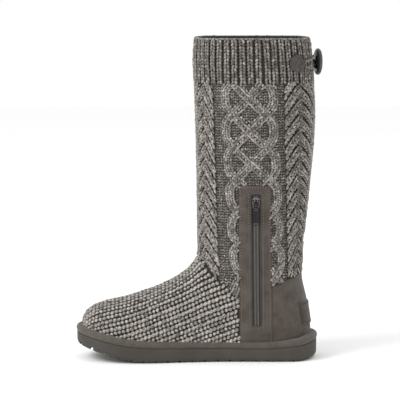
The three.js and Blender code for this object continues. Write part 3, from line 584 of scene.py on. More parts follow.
def joined_lobes(name, part, form):
    """One mesh of all the legs, with a UV map along each and a random shade for each."""
    points, faces, uvs = form
    axis = part["end"] - part["start"]
    length = np.linalg.norm(axis, axis=1)
    along = axis / length[:, None]
    out = unit(part["out"] - along * np.sum(part["out"] * along, axis=1, keepdims=True))
    aside = np.cross(out, along)
    reach = np.stack([part["width"] / 2, part["thick"] / 2, length / 2], 1)
    frame_of = np.stack([aside, out, along], 1) * reach[:, :, None]
    middle = (part["start"] + part["end"]) / 2
    verts = middle[:, None, :] + np.einsum("pk,nkx->npx", points, frame_of)
    count = len(middle)
    corners = np.concatenate(faces)
    sizes = np.array([len(face) for face in faces])
    shift = (np.arange(count) * len(points))[:, None]
    starts = np.append(0, np.cumsum(np.tile(sizes, count)))[:-1]
    mesh = bpy.data.meshes.new(name)
    mesh.vertices.add(count * len(points))
    mesh.vertices.foreach_set("co", (verts * MM).ravel())
    mesh.loops.add(count * len(corners))
    mesh.loops.foreach_set("vertex_index", (corners[None, :] + shift).ravel())
    mesh.polygons.add(count * len(faces))
    mesh.polygons.foreach_set("loop_start", starts)
    mesh.uv_layers.new(name="along_yarn").data.foreach_set("uv", np.tile(uvs, (count, 1)).ravel())
    shade = np.clip(random.normal(0.5, SHADE_SPREAD, count) + part["tone_and_painted_light"], 0, 1)
    mesh.attributes.new("shade", "FLOAT", "POINT").data.foreach_set("value", np.repeat(shade, len(points)))
    mesh.update(calc_edges=True)
    mesh.validate()
    return mesh


def v_stitches(path, rows, pitch, middle, wale, form):
    """Ends of the two legs of each V stitch of a wale; path turns rows along it and millimetres across to spots.
    form is how far a leg reaches past its row, and where its foot and head are across the wale."""
    reach, foot, head = form
    starts = [path(rows + reach * pitch, middle + leg * foot * wale) for leg in (-1, 1)]
    ends = [path(rows - reach * pitch, middle + leg * head * wale) for leg in (-1, 1)]
    return np.concatenate(starts), np.concatenate(ends)


def spots(*columns):
    return np.stack(np.broadcast_arrays(*columns), -1)


# Ribbed cuff: one wale of V stitches on each rib, and the first rows of the ribs inside the rim
CUFF_ROW = 3.4
CUFF_WALE = 6.8
CUFF_LIFT = 1.75
CUFF_ROUND = 0.9
CUFF_SWAY = 0.5
CUFF_LEG = (3.2, 2.8)
CUFF_FORM = (0.62, 0.12, 0.34)
INSIDE_ROWS = 6
# Painted shade: the ribs inside the rim are darkened, as the inside of the cuff lies in shadow
INSIDE_PAINTED_SHADE = -0.5
CUFF_TONE = -0.2


def cuff_part(side, inside):
    rows = CUFF_HEIGHT - 1.5 - CUFF_ROW * np.arange(INSIDE_ROWS if inside else int(CUFF_HEIGHT / CUFF_ROW))
    ribs = range(CUFF_RIBS_PER_SIDE + 1) if side > 0 else range(1, CUFF_RIBS_PER_SIDE)
    base = -WALL - 0.4 if inside else CUFF_LIFT
    parts = []
    for rib in ribs:
        lean = random.uniform(-1, 1, 2)

        def path(row, across):
            sway = CUFF_SWAY * (lean[0] * np.sin(row / 16) + lean[1] * np.cos(row / 11))
            turn = rib / CUFF_RIBS_PER_SIDE + (across + sway) / TURN_GIRTH
            return spots(turn, -row, base - CUFF_ROUND * (across / (CUFF_WALE / 2)) ** 2)

        ends = v_stitches(path, rows, CUFF_ROW, 0, CUFF_WALE, CUFF_FORM)
        parts.append(legs(partial(shaft_point, side), *ends, *CUFF_LEG, INSIDE_PAINTED_SHADE if inside else CUFF_TONE))
    return gathered(parts)


# Cast-off edge round the rim: a chain of legs over the ribs' ends
RIM_STITCHES = 120
RIM_LEG = (2.3, 2.4)


def rim_part():
    turns = np.arange(RIM_STITCHES) * 2 / RIM_STITCHES - 1
    half = 0.85 * 2 / RIM_STITCHES
    starts = spots(turns - half, -CUFF_HEIGHT + 1.4, 1.3)
    ends = spots(turns + half, -CUFF_HEIGHT + 0.4, 0.8)
    inner_starts = spots(turns - half, -CUFF_HEIGHT + 0.3, -0.6)
    inner_ends = spots(turns + half, -CUFF_HEIGHT + 0.6, -1.6)
    points = partial(shaft_point, 1)
    return gathered([legs(points, starts, ends, *RIM_LEG), legs(points, inner_starts, inner_ends, *RIM_LEG)])


# Plaits: two rows of leaves that fall away from a middle line by turns, two wales to a leaf.
# For each plait its middle, its half towards the front and its half towards the back, at the calf and the ankle.
PLAITS = (
    ((0.18, 0.165), (0.088, 0.08), (0.069, 0.115)),
    ((0.762, 0.832), (0.102, 0.088), (0.135, 0.12)),
)
PLAIT_LEAN = 1.4
PLAIT_BEND = 1.5
PLAIT_STAGGER = 0.3
LEAF_WALES = 2
LEAF_ROW = 3.9
LEAF_SHARE = 0.79
LEAF_LIFT = 0.1
LEAF_ROUND = 3.2
LEAF_LEG = (2.6, 2.8)
LEAF_FORM = (0.7, 0.06, 0.43)
# Painted shade: the first rows of each leaf, where the leaves meet at the plait's middle line, are darkened
LEAF_ROOT_PAINTED_SHADE = -0.35
SHAFT_DROP = CUFF_BASE
# The cables drift between these drops below the cuff, at the calf and the ankle
DRIFT_DROPS = (60, 190)


def going_down(drop, values):
    """A value of the cables between the calf and the ankle."""
    return np.interp(drop, DRIFT_DROPS, values)


def plait_part(side, middle, front, back):
    parts = []
    for flank, halves in ((-1, front), (1, back)):
        stitches_along = round(np.hypot(halves[0] * TURN_GIRTH, PLAIT_LEAN * PLAIT_PITCH) / LEAF_ROW)
        rows = (np.arange(stitches_along) + 0.5) / stitches_along
        # The first fifth of each leaf's rows gets the painted shade of the leaf roots
        tone_and_painted_light = np.where(np.concatenate([rows, rows]) < 0.2, LEAF_ROOT_PAINTED_SHADE, 0)
        for leaf in range(-2, int(SHAFT_DROP / PLAIT_PITCH) + 1):
            first = leaf + 0.5 + PLAIT_STAGGER / 2 * flank

            def path(row, across):
                along = np.clip(row, 0, 1)
                drop = (first + across + PLAIT_LEAN * np.sign(row) * np.abs(row) ** PLAIT_BEND) * PLAIT_PITCH
                turn = going_down(drop, middle) + flank * going_down(drop, halves) * (1.16 * row - 0.12)
                crest = np.cos(np.pi * across) * np.sin(np.pi * (0.1 + 0.78 * along)) ** 0.6
                return spots(turn, drop, LEAF_LIFT + LEAF_ROUND * crest)

            for wale in range(LEAF_WALES):
                centre = ((wale + 0.5) / LEAF_WALES - 0.5) * LEAF_SHARE
                ends = v_stitches(path, rows, 1 / stitches_along, centre, LEAF_SHARE / LEAF_WALES, LEAF_FORM)
                parts.append(legs(partial(shaft_point, side), *ends, *LEAF_LEG, tone_and_painted_light))
    return gathered(parts)


# Lattice: four strands that cross the panel, run along its edge for a step and come back
STRAND_PHASES = (0, 2, 4, 6)
STRAND_WALE = 5.0
STRAND_ROW = 2.9
STRAND_LIFT = 1.75
STRAND_OVER = 0.6
STRAND_UNDER = -1.5
STRAND_LEG = (2.8, 2.7)
STRAND_FORM = (0.68, 0.1, 0.41)
STRAND_ROUND = 1.4


def strand_slot(step):
    p = np.mod(step, 8)
    return np.where(p < 3, p, np.where(p < 4, 3, np.where(p < 7, 7 - p, 0)))


def soft_slot(step):
    """A strand's slot, 0 to 3, with its bends rounded."""
    return np.mean([strand_slot(step + shift) for shift in np.linspace(-0.22, 0.22, 7)], axis=0)


def lattice_step(drop):
    return (drop - LATTICE_START) / (LATTICE_PERIOD / 2) + 1


def strand_middle(drop, phase):
    slot = soft_slot(lattice_step(drop) + phase) - 1.5
    return going_down(drop, LATTICE_MIDDLE) + slot * going_down(drop, LATTICE_STEP)


def strand_stretch(drop, phase):
    """How much wider a strand is across than square to its own line."""
    slope = (strand_middle(drop + 1, phase) - strand_middle(drop - 1, phase)) * TURN_GIRTH / 2
    return np.hypot(1, slope)


def strand_part(side):
    rows = np.arange(STRAND_ROW / 2, SHAFT_DROP, STRAND_ROW)
    parts = []
    for phase in STRAND_PHASES:

        def path(row, across):
            step = lattice_step(row) + phase
            moving = np.sign(np.round(strand_slot(step + 0.05) - strand_slot(step - 0.05), 3))
            near = np.abs(moving) * np.exp(-(((np.mod(step, 1) - 0.5) / 0.3) ** 2))
            central = np.abs(strand_slot(step) - 1.5) < 0.5
            over = (moving > 0) == central
            lift = STRAND_LIFT + near * np.where(over, STRAND_OVER, STRAND_UNDER)
            turn = strand_middle(row, phase) + across * strand_stretch(row, phase) / TURN_GIRTH
            return spots(turn, row, lift - STRAND_ROUND * (across / STRAND_WALE) ** 2)

        for wale in (-0.5, 0.5):
            ends = v_stitches(path, rows, STRAND_ROW, wale * STRAND_WALE, STRAND_WALE, STRAND_FORM)
            parts.append(legs(partial(shaft_point, side), *ends, *STRAND_LEG))
    return gathered(parts)


# Purl ground between the plaits and beside them: two slanting legs to a stitch, in zigzag lines
PURL_WALE = 4.3
PURL_ROW = 3.0
PURL_LIFT = -0.2
PURL_SLANT = 0.36
PURL_LEG = (1.8, 2.0)
# Painted shade: the purl ground, sunk between the raised cables, is darkened
PURL_PAINTED_SHADE = -0.28
CHANNEL = 0.6


def purl_part(side):
    """Purl wales set evenly from the channel beside one plait to the channel beside the other."""
    front, back = PLAITS
    rows = np.arange(PURL_ROW / 2, SHAFT_DROP, PURL_ROW)
    first = going_down(rows, front[0]) + going_down(rows, front[2]) + CHANNEL / TURN_GIRTH
    last = going_down(rows, back[0]) - going_down(rows, back[1]) - CHANNEL / TURN_GIRTH
    count = round((last[0] - first[0]) * TURN_GIRTH / PURL_WALE)
    wale = (last - first) / count
    parts = []
    for k in range(count):
        turn = first + (k + 0.5) * wale
        free = np.ones(len(rows), bool)
        for phase in STRAND_PHASES:
            width = 0.88 * STRAND_WALE * strand_stretch(rows, phase) / TURN_GIRTH
            free &= np.abs(turn - strand_middle(rows, phase)) > width
        rise = PURL_ROW * (PURL_SLANT + random.uniform(-0.15, 0.15, len(rows)))
        top = spots(turn, rows - rise, PURL_LIFT)
        for leg in (-1, 1):
            foot = spots(turn + leg * wale / 2, rows + rise, PURL_LIFT)
            parts.append(legs(partial(shaft_point, side), top[free], foot[free], *PURL_LEG, PURL_PAINTED_SHADE))
    return gathered(parts)


# Plain columns of V stitches up the front and the back: their first turn, the way they go and their wales
PLAIN_COLUMNS = ((0, 1, 4), (1, -1, 4))
PLAIN_WALE = 4.4
PLAIN_ROW = 3.3
PLAIN_LIFT = 1.4
PLAIN_LEG = (2.2, 2.3)
PLAIN_FORM = (0.64, 0.13, 0.36)


def plain_part(side, first, way, wales):
    rows = np.arange(PLAIN_ROW / 2, SHAFT_DROP, PLAIN_ROW)

    def path(row, across):
        return spots(first + way * across / TURN_GIRTH, row, PLAIN_LIFT)

    parts = []
    for wale in range(wales):
        ends = v_stitches(path, rows, PLAIN_ROW, (wale + 0.5) * PLAIN_WALE, PLAIN_WALE, PLAIN_FORM)
        parts.append(legs(partial(shaft_point, side), *ends, *PLAIN_LEG))
    return gathered(parts)


# Ribbed vamp: one wale of big V stitches on each rib
VAMP_RIBS = 13
VAMP_ROW = 4.6
VAMP_WALE = 9.4
VAMP_LIFT = 1.6
VAMP_ROUND = 1.3
VAMP_LEG = (4.4, 3.4)
VAMP_FORM = (0.4, 0.09, 0.42)
# Painted light: the vamp's stitches are lightened, as the vamp faces up into the light
VAMP_PAINTED_LIGHT = 0.48
VAMP_ENDS = (80, -131.5)


def vamp_part(side):
    parts = []
    for rib in range(side < 0, VAMP_RIBS):
        middle = rib * VAMP_RIB_PITCH
        places = np.linspace(*VAMP_ENDS, 500)
        line = vamp_point(side, spots(places, middle, 0.0))
        way = np.append(0, np.cumsum(np.linalg.norm(np.diff(line, axis=0), axis=1)))
        rows = np.arange(random.uniform(0, VAMP_ROW), way[-1], VAMP_ROW)

        def path(row, across):
            lift = VAMP_LIFT - VAMP_ROUND * (across / (VAMP_WALE / 2)) ** 2
            return spots(np.interp(row, way, places), middle + across, lift)

        ends = v_stitches(path, rows, VAMP_ROW, 0, VAMP_WALE, VAMP_FORM)
        parts.append(legs(partial(vamp_point, side), *ends, *VAMP_LEG, VAMP_PAINTED_LIGHT))
    return gathered(parts)


SEAM_MARGIN = 0.5


def on_shaft(part):
    """Keeps the legs of the shaft above the seam and clear of the cuff and the suede."""
    middle = (part["start"] + part["end"]) / 2
    x, _, z = middle.T
    above = (behind_seam(x, z) > SEAM_MARGIN) & (z > sole_top(x) + BINDING_HEIGHT - 3)
    return chosen(part, (z < CUFF_BASE) & above & ~under_suede(middle))


def on_vamp(part):
    """Keeps the legs of the vamp that are over the binding, below the shaft and clear of the suede."""
    middle = (part["start"] + part["end"]) / 2
    x, _, z = middle.T
    below = (behind_seam(x, z) < -SEAM_MARGIN) & (z > sole_top(x) + BINDING_HEIGHT - 3)
    return chosen(part, below & ~under_suede(middle))


# Materials


def heather_yarn():
    """Marled wool and acrylic yarn, spun from light and dark fibres: each stitch has its own grey, with flecks
    and a twist along the yarn, and a dry, fuzzy surface with no gloss."""
    material, tree, shader = new_material("heather_wool_yarn_knitted")
    shade = add(tree, "Attribute", {}, attribute_name="shade").outputs["Fac"]
    place = add(tree, "TexCoord", {}).outputs["Object"]
    along = add(tree, "UVMap", {}, uv_map="along_yarn").outputs["UV"]
    fleck = add(tree, "TexNoise", {"Vector": place, "Scale": per_metre(2.2), "Detail": 4, "Roughness": 0.7})
    grey = add(tree, "Mix", {"Factor": shade, MIX_A: linear("#5d5852"), MIX_B: linear("#b4aea6")}, data_type="RGBA")
    flecked = add(tree, "MapRange", {"Value": fleck.outputs["Fac"], "From Min": 0.36, "From Max": 0.56})
    marl = add(
        tree,
        "Mix",
        {"Factor": flecked.outputs["Result"], MIX_A: linear("#47423e"), MIX_B: grey.outputs[MIX_RESULT]},
        data_type="RGBA",
    )
    # Painted shade: the flanks and the ends of each leg, where it tucks under its neighbours and takes less light, are
    # darkened towards near black
    round_leg = add(tree, "SeparateXYZ", {"Vector": along})
    turn = add(tree, "Math", {0: round_leg.outputs["X"], 1: 2 * math.pi}, operation="MULTIPLY")
    crown = add(tree, "Math", {0: turn.outputs["Value"]}, operation="SINE")
    half_turn = add(tree, "Math", {0: round_leg.outputs["Y"], 1: math.pi}, operation="MULTIPLY")
    middle = add(tree, "Math", {0: half_turn.outputs["Value"]}, operation="SINE")
    flank = add(tree, "MapRange", {"Value": crown.outputs["Value"], "From Min": 0.0, "From Max": 0.8})
    tip = add(tree, "MapRange", {"Value": middle.outputs["Value"], "From Max": 0.7, "To Min": 0.35})
    tuck_painted_shade = add(tree, "Math", {0: flank.outputs["Result"], 1: tip.outputs["Result"]}, operation="MULTIPLY")
    colour = add(
        tree,
        "Mix",
        {"Factor": tuck_painted_shade.outputs["Value"], MIX_A: linear("#241f1c"), MIX_B: marl.outputs[MIX_RESULT]},
        data_type="RGBA",
    )
    twist = add(tree, "Mapping", {"Vector": along, "Scale": (2, 2.4, 1)})
    plies = add(
        tree,
        "TexWave",
        {"Vector": twist.outputs["Vector"], "Scale": 0.64, "Distortion": 0.6},
        wave_type="BANDS",
        bands_direction="DIAGONAL",
    )
    fibre = add(tree, "TexNoise", {"Vector": place, "Scale": per_metre(0.7), "Detail": 3})
    coarse = add(tree, "Bump", {"Height": plies.outputs["Fac"], "Strength": 0.5, "Distance": 0.35 * MM})
    fine = add(
        tree,
        "Bump",
        {"Height": fibre.outputs["Fac"], "Normal": coarse.outputs["Normal"], "Strength": 0.6, "Distance": 0.3 * MM},
    )
    tree.links.new(colour.outputs[MIX_RESULT], shader.inputs["Base Color"])
    tree.links.new(fine.outputs["Normal"], shader.inputs["Normal"])
    shader.inputs["Roughness"].default_value = 0.95
    shader.inputs["Specular IOR Level"].default_value = 0.15
    shader.inputs["Sheen Weight"].default_value = 0.25
    shader.inputs["Sheen Roughness"].default_value = 0.6
    return material


def nap(name, low, high, mottle, grain, depth):
    """Buffed leather or fleece: soft cloudy patches where the nap lies another way, a fine nap that catches no
    gloss, and a faint velvety edge. mottle and grain are the sizes of the patches and of the nap."""
    material, tree, shader = new_material(name)
    place = add(tree, "TexCoord", {}).outputs["Object"]
    cloud = add(tree, "TexNoise", {"Vector": place, "Scale": per_metre(mottle), "Detail": 5, "Roughness": 0.65})
    hair = add(tree, "TexNoise", {"Vector": place, "Scale": per_metre(grain), "Detail": 3, "Roughness": 0.7})
    spread = add(tree, "MapRange", {"Value": cloud.outputs["Fac"], "From Min": 0.3, "From Max": 0.7})
    body = add(
        tree,
        "Mix",
        {"Factor": spread.outputs["Result"], MIX_A: linear(low), MIX_B: linear(high)},
        data_type="RGBA",
    )
    speck = add(tree, "MapRange", {"Value": hair.outputs["Fac"], "To Min": 0.72, "To Max": 1.28})
    colour = add(tree, "HueSaturation", {"Color": body.outputs[MIX_RESULT], "Value": speck.outputs["Result"]})
    bump = add(tree, "Bump", {"Height": hair.outputs["Fac"], "Strength": 0.55, "Distance": depth * MM})
    tree.links.new(colour.outputs["Color"], shader.inputs["Base Color"])
    tree.links.new(bump.outputs["Normal"], shader.inputs["Normal"])
    shader.inputs["Roughness"].default_value = 0.92
    shader.inputs["Specular IOR Level"].default_value = 0.2
    shader.inputs["Sheen Weight"].default_value = 0.2
    shader.inputs["Sheen Roughness"].default_value = 0.5
    return material


def moulded(name, low, high, mottle, pebble, depth, roughness, coat):
    """Moulded foam, plastic or waxed leather: nearly even in colour, with a fine pebbled skin and a soft sheen."""
    material, tree, shader = new_material(name)
    place = add(tree, "TexCoord", {}).outputs["Object"]
    cloud = add(tree, "TexNoise", {"Vector": place, "Scale": per_metre(mottle), "Detail": 4})
    spread = add(tree, "MapRange", {"Value": cloud.outputs["Fac"], "From Min": 0.35, "From Max": 0.65})
    skin = add(tree, "TexVoronoi", {"Vector": place, "Scale": per_metre(pebble)}, feature="SMOOTH_F1")
    colour = add(
        tree,
        "Mix",
        {"Factor": spread.outputs["Result"], MIX_A: linear(low), MIX_B: linear(high)},
        data_type="RGBA",
    )
    worn = add(
        tree,
        "MapRange",
        {"Value": cloud.outputs["Fac"], "To Min": roughness - 0.12, "To Max": roughness + 0.12},
    )
    bump = add(tree, "Bump", {"Height": skin.outputs["Distance"], "Strength": 0.4, "Distance": depth * MM})
    tree.links.new(colour.outputs[MIX_RESULT], shader.inputs["Base Color"])
    tree.links.new(worn.outputs["Result"], shader.inputs["Roughness"])
    tree.links.new(bump.outputs["Normal"], shader.inputs["Normal"])
    shader.inputs["Coat Weight"].default_value = coat
    shader.inputs["Coat Roughness"].default_value = 0.35
    return material


def woven_tape():
    """Woven polyester zip tape: fine slanting twill lines and a dull, faintly silky face."""
    material, tree, shader = new_material("polyester_zip_tape_woven")
    place = add(tree, "TexCoord", {}).outputs["Object"]
    turned = add(tree, "Mapping", {"Vector": place, "Rotation": (0, math.radians(35), 0)})
    # Real twill lines are 0.4 mm apart; these are 0.9 mm, so that they show
    twill = add(
        tree,
        "TexWave",
        {"Vector": turned.outputs["Vector"], "Scale": per_metre(0.9) * WAVE_BAND, "Distortion": 0.4},
        wave_type="BANDS",
        bands_direction="Z",
    )
    colour = add(
        tree,
        "Mix",
        {"Factor": twill.outputs["Fac"], MIX_A: linear("#393936"), MIX_B: linear("#4a4945")},
        data_type="RGBA",
    )
    bump = add(tree, "Bump", {"Height": twill.outputs["Fac"], "Strength": 0.5, "Distance": 0.2 * MM})
    tree.links.new(colour.outputs[MIX_RESULT], shader.inputs["Base Color"])
    tree.links.new(bump.outputs["Normal"], shader.inputs["Normal"])
    shader.inputs["Roughness"].default_value = 0.8
    return material


def plated_metal(name, low, high):
    """Zinc die casting with a nickel plate: a metal that mirrors softly, a little uneven in its polish."""
    material, tree, shader = new_material(name)
    place = add(tree, "TexCoord", {}).outputs["Object"]
    wear = add(tree, "TexNoise", {"Vector": place, "Scale": per_metre(2.5), "Detail": 3})
    colour = add(
        tree,
        "Mix",
        {"Factor": wear.outputs["Fac"], MIX_A: linear(low), MIX_B: linear(high)},
        data_type="RGBA",
    )
    polish = add(tree, "MapRange", {"Value": wear.outputs["Fac"], "To Min": 0.25, "To Max": 0.5})
    tree.links.new(colour.outputs[MIX_RESULT], shader.inputs["Base Color"])
    tree.links.new(polish.outputs["Result"], shader.inputs["Roughness"])
    shader.inputs["Metallic"].default_value = 1
    return material


YARN = heather_yarn()
# Painted shade: the wall under the stitches is near black, so that the gaps between the legs, the edges of the zip slot
# and the first rows inside the rim read as shade
PAINTED_GAP_SHADE = nap("knit_gaps_painted_shade", "#262220", "#3d3834", 5, 0.9, 0.4)
LINING = nap("sherpa_fleece_lining", "#8d857b", "#a79f94", 6, 1.6, 0.8)
PANEL_SUEDE = nap("cow_suede_buffed", "#3f3732", "#554f49", 14, 0.8, 0.25)
BINDING_SUEDE = nap("cow_suede_rolled_binding", "#48423b", "#56514a", 7, 0.8, 0.25)
LABEL_SUEDE = nap("cow_suede_pressed", "#37312c", "#48423c", 7, 0.9, 0.15)
FOAM = moulded("eva_foam_moulded", "#35312c", "#3f3b35", 25, 0.9, 0.12, 0.72, 0.0)
LEATHER = moulded("cow_leather_waxed", "#231e1b", "#4a433d", 3.4, 1.6, 0.5, 0.6, 0.05)
LACE = moulded("leather_lace_waxed", "#5d5851", "#6f6a62", 3, 0.8, 0.15, 0.7, 0.0)
HORN = moulded("polyester_button_satin", "#2c2b2b", "#403e3d", 6, 3, 0.05, 0.42, 0.3)
COIL = moulded("nylon_coil_drawn", "#2c2b29", "#383733", 3, 0.8, 0.05, 0.5, 0.0)
THREAD = nap("polyester_thread_twisted", "#6d655d", "#7d756b", 1.2, 0.5, 0.1)
# Dark thread; the same material paints the needle holes as painted shade
DARK_THREAD_AND_HOLE_SHADE = nap("polyester_thread_dark", "#2b2622", "#36312c", 1.2, 0.5, 0.1)
TAPE = woven_tape()
DARK_METAL = plated_metal("zinc_casting_dark_plated", "#262425", "#3a3738")
# Light metal of the slider's plate; on the pull's hole rims and end bar it is a painted highlight
LIGHT_METAL_AND_PAINTED_HIGHLIGHT = plated_metal("zinc_casting_light_and_painted_highlight", "#5a5758", "#7c797a")


# The knitted upper

WALL_FACETS = 144
WALL_LIFT = 0.1
RIM_RISE = 1.2
# Rows of the wall down from the rim inside that are knitted, over the fleece
RIM_KNIT_ROWS = 5


def knit_wall():
    """The wall under the stitches with its lining, one closed skin: up the outside, over the rim, down the inside."""
    outer = np.concatenate([np.linspace(0, SEAM_ROW, 40), np.linspace(SEAM_ROW, COLLAR_ROW, 56)[1:]])
    rows = np.arange(len(outer) * 2 + 1)
    rim = len(outer)
    angles = np.linspace(0, 2 * np.pi, WALL_FACETS + 1)

    def point(angle, row):
        inside = row > rim
        place = np.where(inside, outer[::-1][np.clip(row - rim - 1, 0, rim - 1)], outer[np.clip(row, 0, rim - 1)])
        lift = np.where(row == rim, -WALL / 2, np.where(inside, -WALL, WALL_LIFT))
        spot = wall(place, angle, lift)
        seat = sole_top(spot[:, 0]) + GAP + np.where(inside, 0.2, 0)
        spot[:, 2] = np.maximum(spot[:, 2], seat) + np.where(row == rim, RIM_RISE, 0)
        return spot

    shape, _, j = grid_shape(angles, rows, point)
    row_of = dict(zip(shape.verts, j))
    for face in shape.faces:
        # The outside and the first rows inside the rim take the near-black painted shade, the rest of the inside the
        # fleece
        face.material_index = int(min(row_of[vert] for vert in face.verts) >= rim + RIM_KNIT_ROWS)
    bmesh.ops.remove_doubles(shape, verts=shape.verts, dist=0.01 * MM)
    bmesh.ops.holes_fill(shape, edges=shape.edges, sides=0)
    bmesh.ops.recalc_face_normals(shape, faces=shape.faces)
    return piece("knit_wall", shape, [PAINTED_GAP_SHADE, LINING], "heather_yarn", replaces=["upper"])


FINE_LOBE = lobe(6, 4, 2.6)
CABLE_LOBE = lobe(7, 4, 2.6)
BIG_LOBE = lobe(8, 5, 2.4)
THREAD_LOBE = lobe(6, 4, 3.0)


def yarn_piece(name, part, form):
    dress(name, joined_lobes(name, part, form), [YARN])


def knit():
    knit_wall()
    cuff = [cuff_part(side, inside) for side in (1, -1) for inside in (False, True)]
    yarn_piece("cuff_ribs", gathered(cuff + [rim_part()]), CABLE_LOBE)
    yarn_piece("vamp_ribs", on_vamp(gathered([vamp_part(1), vamp_part(-1)])), BIG_LOBE)
    for name, side in (("inner", 1), ("outer", -1)):
        plaits = gathered([plait_part(side, *plait) for plait in PLAITS])
        ground = gathered([purl_part(side)] + [plain_part(side, *column) for column in PLAIN_COLUMNS])
        yarn_piece(f"{name}_plaits", on_shaft(plaits), CABLE_LOBE)
        yarn_piece(f"{name}_lattice", on_shaft(strand_part(side)), CABLE_LOBE)
        yarn_piece(f"{name}_ground", on_shaft(ground), FINE_LOBE)


knit()


# Suede pieces

EDGE_ROUND = 0.5
STITCH_PITCH = 2.9
STITCH_LENGTH = 1.7
STITCH_SIZE = (0.9, 0.6)
HOLE_LENGTH = 1.2
HOLE_SIZE = (0.9, 0.35)
EDGE_STITCH_INSET = 2.3
COUNTER_STITCH_INSET = 1.2
ZIP_STITCH_INSET = 3.4
SLOT_STITCH_INSET = 0.9
BAR_TACK_DROP = 3.2
BAR_TACK_PAST = 2.2
SUEDE_LIFT = GAP + SUEDE


def panel_columns(z):
    """X of the panel's front edge, the slot's two edges and the panel's back edge at a height."""
    half = ZIP_SLOT_WIDTH / 2
    return np.stack([panel_front(z), zip_x(z) - half, zip_x(z) + half, panel_back(z)])


def zip_panel():
    columns = np.concatenate([np.linspace(0, 1, 9), np.linspace(1, 2, 6)[1:], np.linspace(2, 3, 9)[1:]])
    heights = (PANEL_LOW, *ZIP_Z, PANEL_TOP)
    rows = np.concatenate([np.linspace(heights[k], heights[k + 1], n)[bool(k) :] for k, n in enumerate((9, 52, 6))])

    def point(column, z):
        lines = panel_columns(z)
        k = np.clip(column.astype(int), 0, 2)
        each = np.arange(len(z))
        x = lines[k, each] + (column - k) * (lines[k + 1, each] - lines[k, each])
        return side_point(x, z, SUEDE_LIFT)

    shape, i, j = grid_shape(columns, rows, point)
    spot = {vert: (columns[a], rows[b]) for vert, a, b in zip(shape.verts, i, j)}
    slot = []
    for face in shape.faces:
        across, up = np.mean([spot[vert] for vert in face.verts], axis=0)
        if 1 < across < 2 and ZIP_Z[0] < up < ZIP_Z[1]:
            slot.append(face)
    bmesh.ops.delete(shape, geom=slot, context="FACES")
    thicken(piece("zip_panel_suede", shape, [PANEL_SUEDE], "suede", replaces=["zip_panel"]), SUEDE, EDGE_ROUND)


def counter_point(across, up, lift, inset=0.0):
    """Point of the counter: across runs from its inner front edge (-1) over the back (0) to its outer one (1)."""
    z = np.full_like(across, COUNTER_SIDE_Z / 2)
    for _ in range(8):
        edge = side_turn(panel_back(z) + GAP + inset, z)
        turn = 1 - (1 - edge) * np.abs(across)
        x = wall(side_row(turn, z), np.pi * turn)[:, 0]
        low = sole_top(x) + 1
        z = low + up * (counter_top(x) - GAP - inset - low)
    return wall(side_row(turn, z), -np.sign(across) * np.pi * turn + (across == 0) * np.pi, lift)


def heel_counter():
    shape, _, _ = grid_shape(np.linspace(-1, 1, 61), np.linspace(0, 1, 30), partial(counter_point, lift=SUEDE_LIFT))
    bmesh.ops.recalc_face_normals(shape, faces=shape.faces)
    thicken(piece("heel_counter_suede", shape, [PANEL_SUEDE], "suede", replaces=["heel_counter"]), SUEDE, EDGE_ROUND)


LABEL_LIFT = 2 * GAP + SUEDE + LABEL
LABEL_STITCH_INSET = 1.8


def label_point(across, z, lift, inset=0.0):
    """Point of the heel label, which lies across the back of the counter."""
    edge = side_turn(np.interp(z, (LABEL_LOW, LABEL_HIGH), LABEL_FRONT_X) + inset, z)
    turn = 1 - (1 - edge) * np.abs(across)
    return wall(side_row(turn, z), -np.sign(across) * np.pi * turn + (across == 0) * np.pi, lift)


def heel_label():
    rows = np.linspace(LABEL_LOW, LABEL_HIGH, 16)
    shape, _, _ = grid_shape(np.linspace(-1, 1, 33), rows, partial(label_point, lift=LABEL_LIFT))
    thicken(piece("heel_label_suede", shape, [LABEL_SUEDE], "label_suede", replaces=["heel_label"]), LABEL, EDGE_ROUND)


def stitches(lines, size, first=0.5, pitch=STITCH_PITCH, length=STITCH_LENGTH):
    """Stitches along lines of points in millimetres, each line with the way out of the surface at its points."""
    parts = []
    for points, outs in lines:
        way = np.append(0, np.cumsum(np.linalg.norm(np.diff(points, axis=0), axis=1)))
        at = np.arange(first * pitch, way[-1] - pitch / 4, pitch)

        def on_line(values, where):
            return np.stack([np.interp(where, way, values[:, axis]) for axis in range(3)], -1)

        count = len(at)
        parts.append(
            {
                "start": on_line(points, at - length / 2),
                "end": on_line(points, at + length / 2),
                "out": on_line(outs, at),
                "width": np.full(count, size[0]),
                "thick": np.full(count, size[1]),
                "tone_and_painted_light": np.zeros(count),
            }
        )
    return gathered(parts)


def line_on(point, *spots_along):
    """A line of points just over a surface and its ways out; point takes the spots and a lift."""
    return point(*spots_along, 0.1), point(*spots_along, 1.0) - point(*spots_along, 0.0)


def seam(name, lines, thread):
    """A row of stitches along lines, with the needle holes between them as dark lobes of painted shade."""
    mesh = joined_lobes(name, stitches(lines, STITCH_SIZE), THREAD_LOBE)
    dress(name, mesh, [thread])
    holes = joined_lobes(f"{name}_holes", stitches(lines, HOLE_SIZE, first=1, length=HOLE_LENGTH), THREAD_LOBE)
    dress(f"{name}_holes", holes, [DARK_THREAD_AND_HOLE_SHADE])


